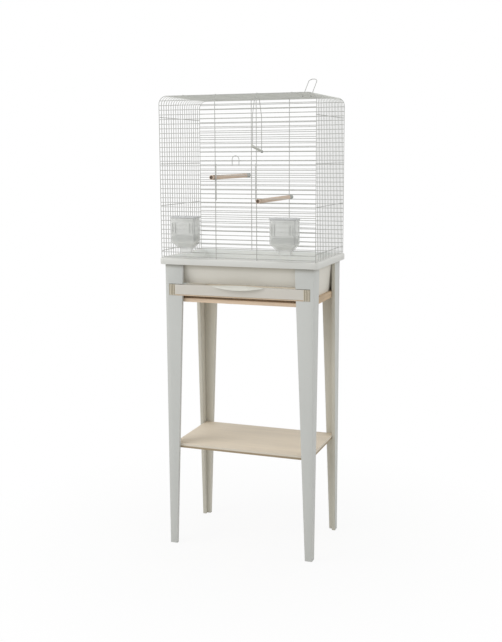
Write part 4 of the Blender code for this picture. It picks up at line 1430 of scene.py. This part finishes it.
class CAGE_OT_shelf(Operator):
    """The plywood shelf, its dowels and the rails under the base"""

    bl_idname = "cage.shelf_and_rails"
    bl_label = "Shelf and rails"

    def execute(self, context):
        colours = context.scene.cage_colours
        sizes = context.scene.cage_boards
        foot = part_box("shelf")[0].z
        face = plywood_face("plywood", colours.plywood, "X")
        rim = plywood_edge("plywood_edge", colours.ply_pale, colours.ply_dark,
                           sizes.ply, foot + sizes.ply)
        shelf = dress_solid("shelf", "shelf_board", (face, rim), "plywood", "stand",
                            sizes.fine_edge)
        sort_faces(shelf, lambda face: abs(face.normal.z) < 0.5)
        pine = {"X": plain_timber("cross_rail_wood", colours.rail, "X"),
                "Y": plain_timber("side_rail_wood", colours.side_rail, "Y")}
        for node, axis in (("front_rail", "X"), ("back_rail", "X"), ("left_rail", "Y"),
                           ("right_rail", "Y")):
            dress_solid(node, f"{node}_bar", pine[axis], "rail_wood", "stand", sizes.fine_edge)
        for where in ("front", "back"):
            for hand in ("left", "right"):
                node = f"shelf_dowel_{where}_{hand}"
                dress_solid(node, f"{node}_pin", pine["X"], "rail_wood", "stand",
                            sizes.fine_edge, 1)
        return {"FINISHED"}


class CAGE_OT_drawer(Operator):
    """The drawer: front with its pull, sides, back and plywood floor"""

    bl_idname = "cage.drawer"
    bl_label = "Drawer"

    def execute(self, context):
        colours = context.scene.cage_colours
        sizes = context.scene.cage_boards
        paint = {axis: painted_wood(f"drawer_paint_{axis.lower()}", colours.drawer, axis, SATIN)
                 for axis in "XY"}
        for node, axis in (("drawer_back", "X"), ("drawer_left_side", "Y"),
                           ("drawer_right_side", "Y")):
            dress_solid(node, f"{node}_painted", paint[axis], "white_wood", "drawer",
                        sizes.fine_edge, angle=THIN_SHARP)
        self.front(context.scene, paint["X"])
        pull = solid_copy("drawer_pull", "drawer_lip")
        pick(pull, "EDGE", lambda start, end: abs(start.x - end.x) > 1e-4)
        bpy.ops.mesh.subdivide(number_cuts=4, smoothness=1.0)
        object_mode()
        soften(pull, sizes.fine_edge, 3, THIN_SHARP)
        # The pull gets a lighter paint as a painted highlight
        pull_highlight = painted_wood("pull_paint", colours.pull, "X", SATIN)
        hand_over(pull, pull_highlight, "white_wood", "drawer", "drawer_pull")
        low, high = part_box("drawer_floor")
        face = plywood_face("drawer_plywood", colours.plywood, "X")
        rim = plywood_edge("drawer_plywood_edge", colours.rail, colours.ply_dark,
                           (high.z - low.z) / 1.5, low.z)
        floor = dress_solid("drawer_floor", "drawer_floor_board", (face, rim), "plywood",
                            "drawer", THIN_EDGE, 1)
        sort_faces(floor, lambda face: abs(face.normal.z) < 0.5)
        return {"FINISHED"}

    def front(self, scene, paint):
        """The front bar, with raw jointed ends past the drawer's sides."""
        colours = scene.cage_colours
        sizes = scene.cage_boards
        low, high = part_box("drawer_front")
        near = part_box("drawer_floor")[1].x + sizes.seat
        bar = solid_copy("drawer_front", "drawer_front_bar")
        step = sizes.finger
        cuts = [near]
        grooves = []
        while near + step * (len(grooves) + 1) < high.x:
            centre = near + step * (len(grooves) + 0.5)
            grooves.append(centre)
            cuts += [centre - sizes.groove / 2, centre + sizes.groove / 2]
        for place in cuts:
            for side in (-1, 1):
                slice_piece(bar, (side * place, 0, 0), (1, 0, 0))
        margin = step / 2
        for z in (low.z + margin, high.z - margin):
            slice_piece(bar, (0, 0, z), (0, 0, 1))

        def in_groove(place, normal):
            across = min(abs(abs(place.x) - centre) for centre in grooves)
            level = low.z + margin < place.z < high.z - margin
            return normal.y < -FACING and across < sizes.groove / 4 and level

        pick(bar, "FACE", in_groove)
        bpy.ops.mesh.extrude_region_move(TRANSFORM_OT_translate={"value": (0, sizes.groove, 0)})
        object_mode()
        tidy(bar)
        soften(bar, sizes.fine_edge / 2, 2)
        ends = jointed_end("drawer_joint", colours.joint_pale, colours.joint, near,
                           step / 2)
        hand_over(bar, (paint, ends), "white_wood", "drawer", "drawer_front")
        sort_faces(bar, lambda face: abs(face.center.x) > near)

class CAGE_OT_stage(Operator):
    """The camera, the pale floor and the soft lights"""

    bl_idname = "cage.stage"
    bl_label = "Stage"

    def execute(self, context):
        scene = context.scene
        scene.view_settings.view_transform = "Standard"
        self.camera(scene)
        self.floor(scene)
        self.sky(scene)
        for name, place, size, setting in LAMPS:
            self.lamp(name, place, size, getattr(scene.cage_stage, setting))
        return {"FINISHED"}

    def camera(self, scene):
        """The camera at the photograph's place."""
        sizes = scene.cage_camera
        bpy.ops.object.camera_add(location=sizes.place)
        camera = bpy.context.active_object
        camera.name = "photo_camera"
        turn = Matrix.Rotation(sizes.yaw, 4, "Z")
        tilt = Matrix.Rotation(math.pi / 2 - sizes.pitch, 4, "X")
        roll = Matrix.Rotation(sizes.roll, 4, "Z")
        camera.matrix_world = Matrix.Translation(sizes.place) @ turn @ tilt @ roll
        camera.data.sensor_fit = "VERTICAL"
        camera.data.sensor_height = 36
        camera.data.lens = sizes.lens
        camera.data.dof.use_dof = False
        scene.camera = camera

    def floor(self, scene):
        """A pale disc that keeps the shadow near the feet and fades into the white around it."""
        bpy.ops.mesh.primitive_circle_add(vertices=96, radius=FLOOR_RADIUS, fill_type="NGON",
                                          location=(0, 0, -FLOOR_DROP))
        floor = bpy.context.active_object
        floor.name = "floor"
        settle(floor)
        finish = Finish("floor")
        finish.surface(Base_Color=scene.cage_stage.floor, Roughness=0.9)
        sight = finish.out(finish.node("ShaderNodeLightPath"), "Is Camera Ray")
        white = finish.node("ShaderNodeEmission", inputs={"Color": WHITE, "Strength": 1.0})
        x, y = finish.axis("X"), finish.axis("Y")
        distance = (x * x + y * y) ** 0.5
        fade = 1 - FADE_SHARE + FADE_SHARE * distance.over(FADE_FROM, FADE_TO)
        mixed = finish.node("ShaderNodeMixShader", inputs={
            0: sight * fade,
            1: finish.out(finish.shader, "BSDF"),
            2: finish.out(white, "Emission"),
        })
        finish.put(finish.end.inputs["Surface"], finish.out(mixed, "Shader"))
        floor.data.materials.append(finish.material)

    def sky(self, scene):
        """White behind the object, and a lower even light on it."""
        world = bpy.data.worlds.new("white_sky")
        scene.world = world
        sky = Graph(world)
        path = sky.node("ShaderNodeLightPath")
        seen = sky.out(path, "Is Camera Ray")
        for way in ("Is Glossy Ray", "Is Transmission Ray"):
            seen = seen.maths("MAXIMUM", sky.out(path, way))
        level = scene.cage_stage.sky
        light = sky.node("ShaderNodeBackground", inputs={"Color": WHITE, "Strength": level})
        white = sky.node("ShaderNodeBackground", inputs={"Color": WHITE, "Strength": 1.0})
        mixed = sky.node("ShaderNodeMixShader", inputs={
            0: seen,
            1: sky.out(light, "Background"),
            2: sky.out(white, "Background"),
        })
        sky.node("ShaderNodeOutputWorld", inputs={"Surface": sky.out(mixed, "Shader")})

    def lamp(self, name, place, size, watts):
        """A soft square light that looks at the cage's middle."""
        bpy.ops.object.light_add(type="AREA", location=place)
        lamp = bpy.context.active_object
        lamp.name = name
        lamp.data.shape = "SQUARE"
        lamp.data.size = size
        lamp.data.energy = watts
        aim = LAMP_AIM - Vector(place)
        lamp.rotation_euler = aim.to_track_quat("-Z", "Y").to_euler()


OPERATORS = (
    CAGE_OT_end_panels,
    CAGE_OT_uprights,
    CAGE_OT_hoops,
    CAGE_OT_door,
    CAGE_OT_swing,
    CAGE_OT_hanging_loop,
    CAGE_OT_perches,
    CAGE_OT_feeders,
    CAGE_OT_base,
    CAGE_OT_legs,
    CAGE_OT_shelf,
    CAGE_OT_drawer,
    CAGE_OT_stage,
)


class CAGE_PT_panel(Panel):
    """Lists the cage's pieces and settings in the sidebar"""

    bl_label = "Bird cage"
    bl_idname = "CAGE_PT_panel"
    bl_space_type = "VIEW_3D"
    bl_region_type = "UI"
    bl_category = "Bird cage"

    def draw(self, context):
        for group in GROUPS:
            settings = getattr(context.scene, group)
            box = self.layout.box()
            for name in settings.__annotations__:
                box.prop(settings, name)
        for operator in OPERATORS:
            self.layout.operator(operator.bl_idname)


def register():
    for group in GROUPS.values():
        bpy.utils.register_class(group)
    for name, group in GROUPS.items():
        setattr(bpy.types.Scene, name, PointerProperty(type=group))
    for operator in OPERATORS:
        bpy.utils.register_class(operator)
    bpy.utils.register_class(CAGE_PT_panel)


def unregister():
    bpy.utils.unregister_class(CAGE_PT_panel)
    for operator in reversed(OPERATORS):
        bpy.utils.unregister_class(operator)
    for name in GROUPS:
        delattr(bpy.types.Scene, name)
    for group in reversed(GROUPS.values()):
        bpy.utils.unregister_class(group)


def main():
    register()
    for operator in OPERATORS:
        family, name = operator.bl_idname.split(".")
        getattr(getattr(bpy.ops, family), name)()


if __name__ == "__main__":
    main()
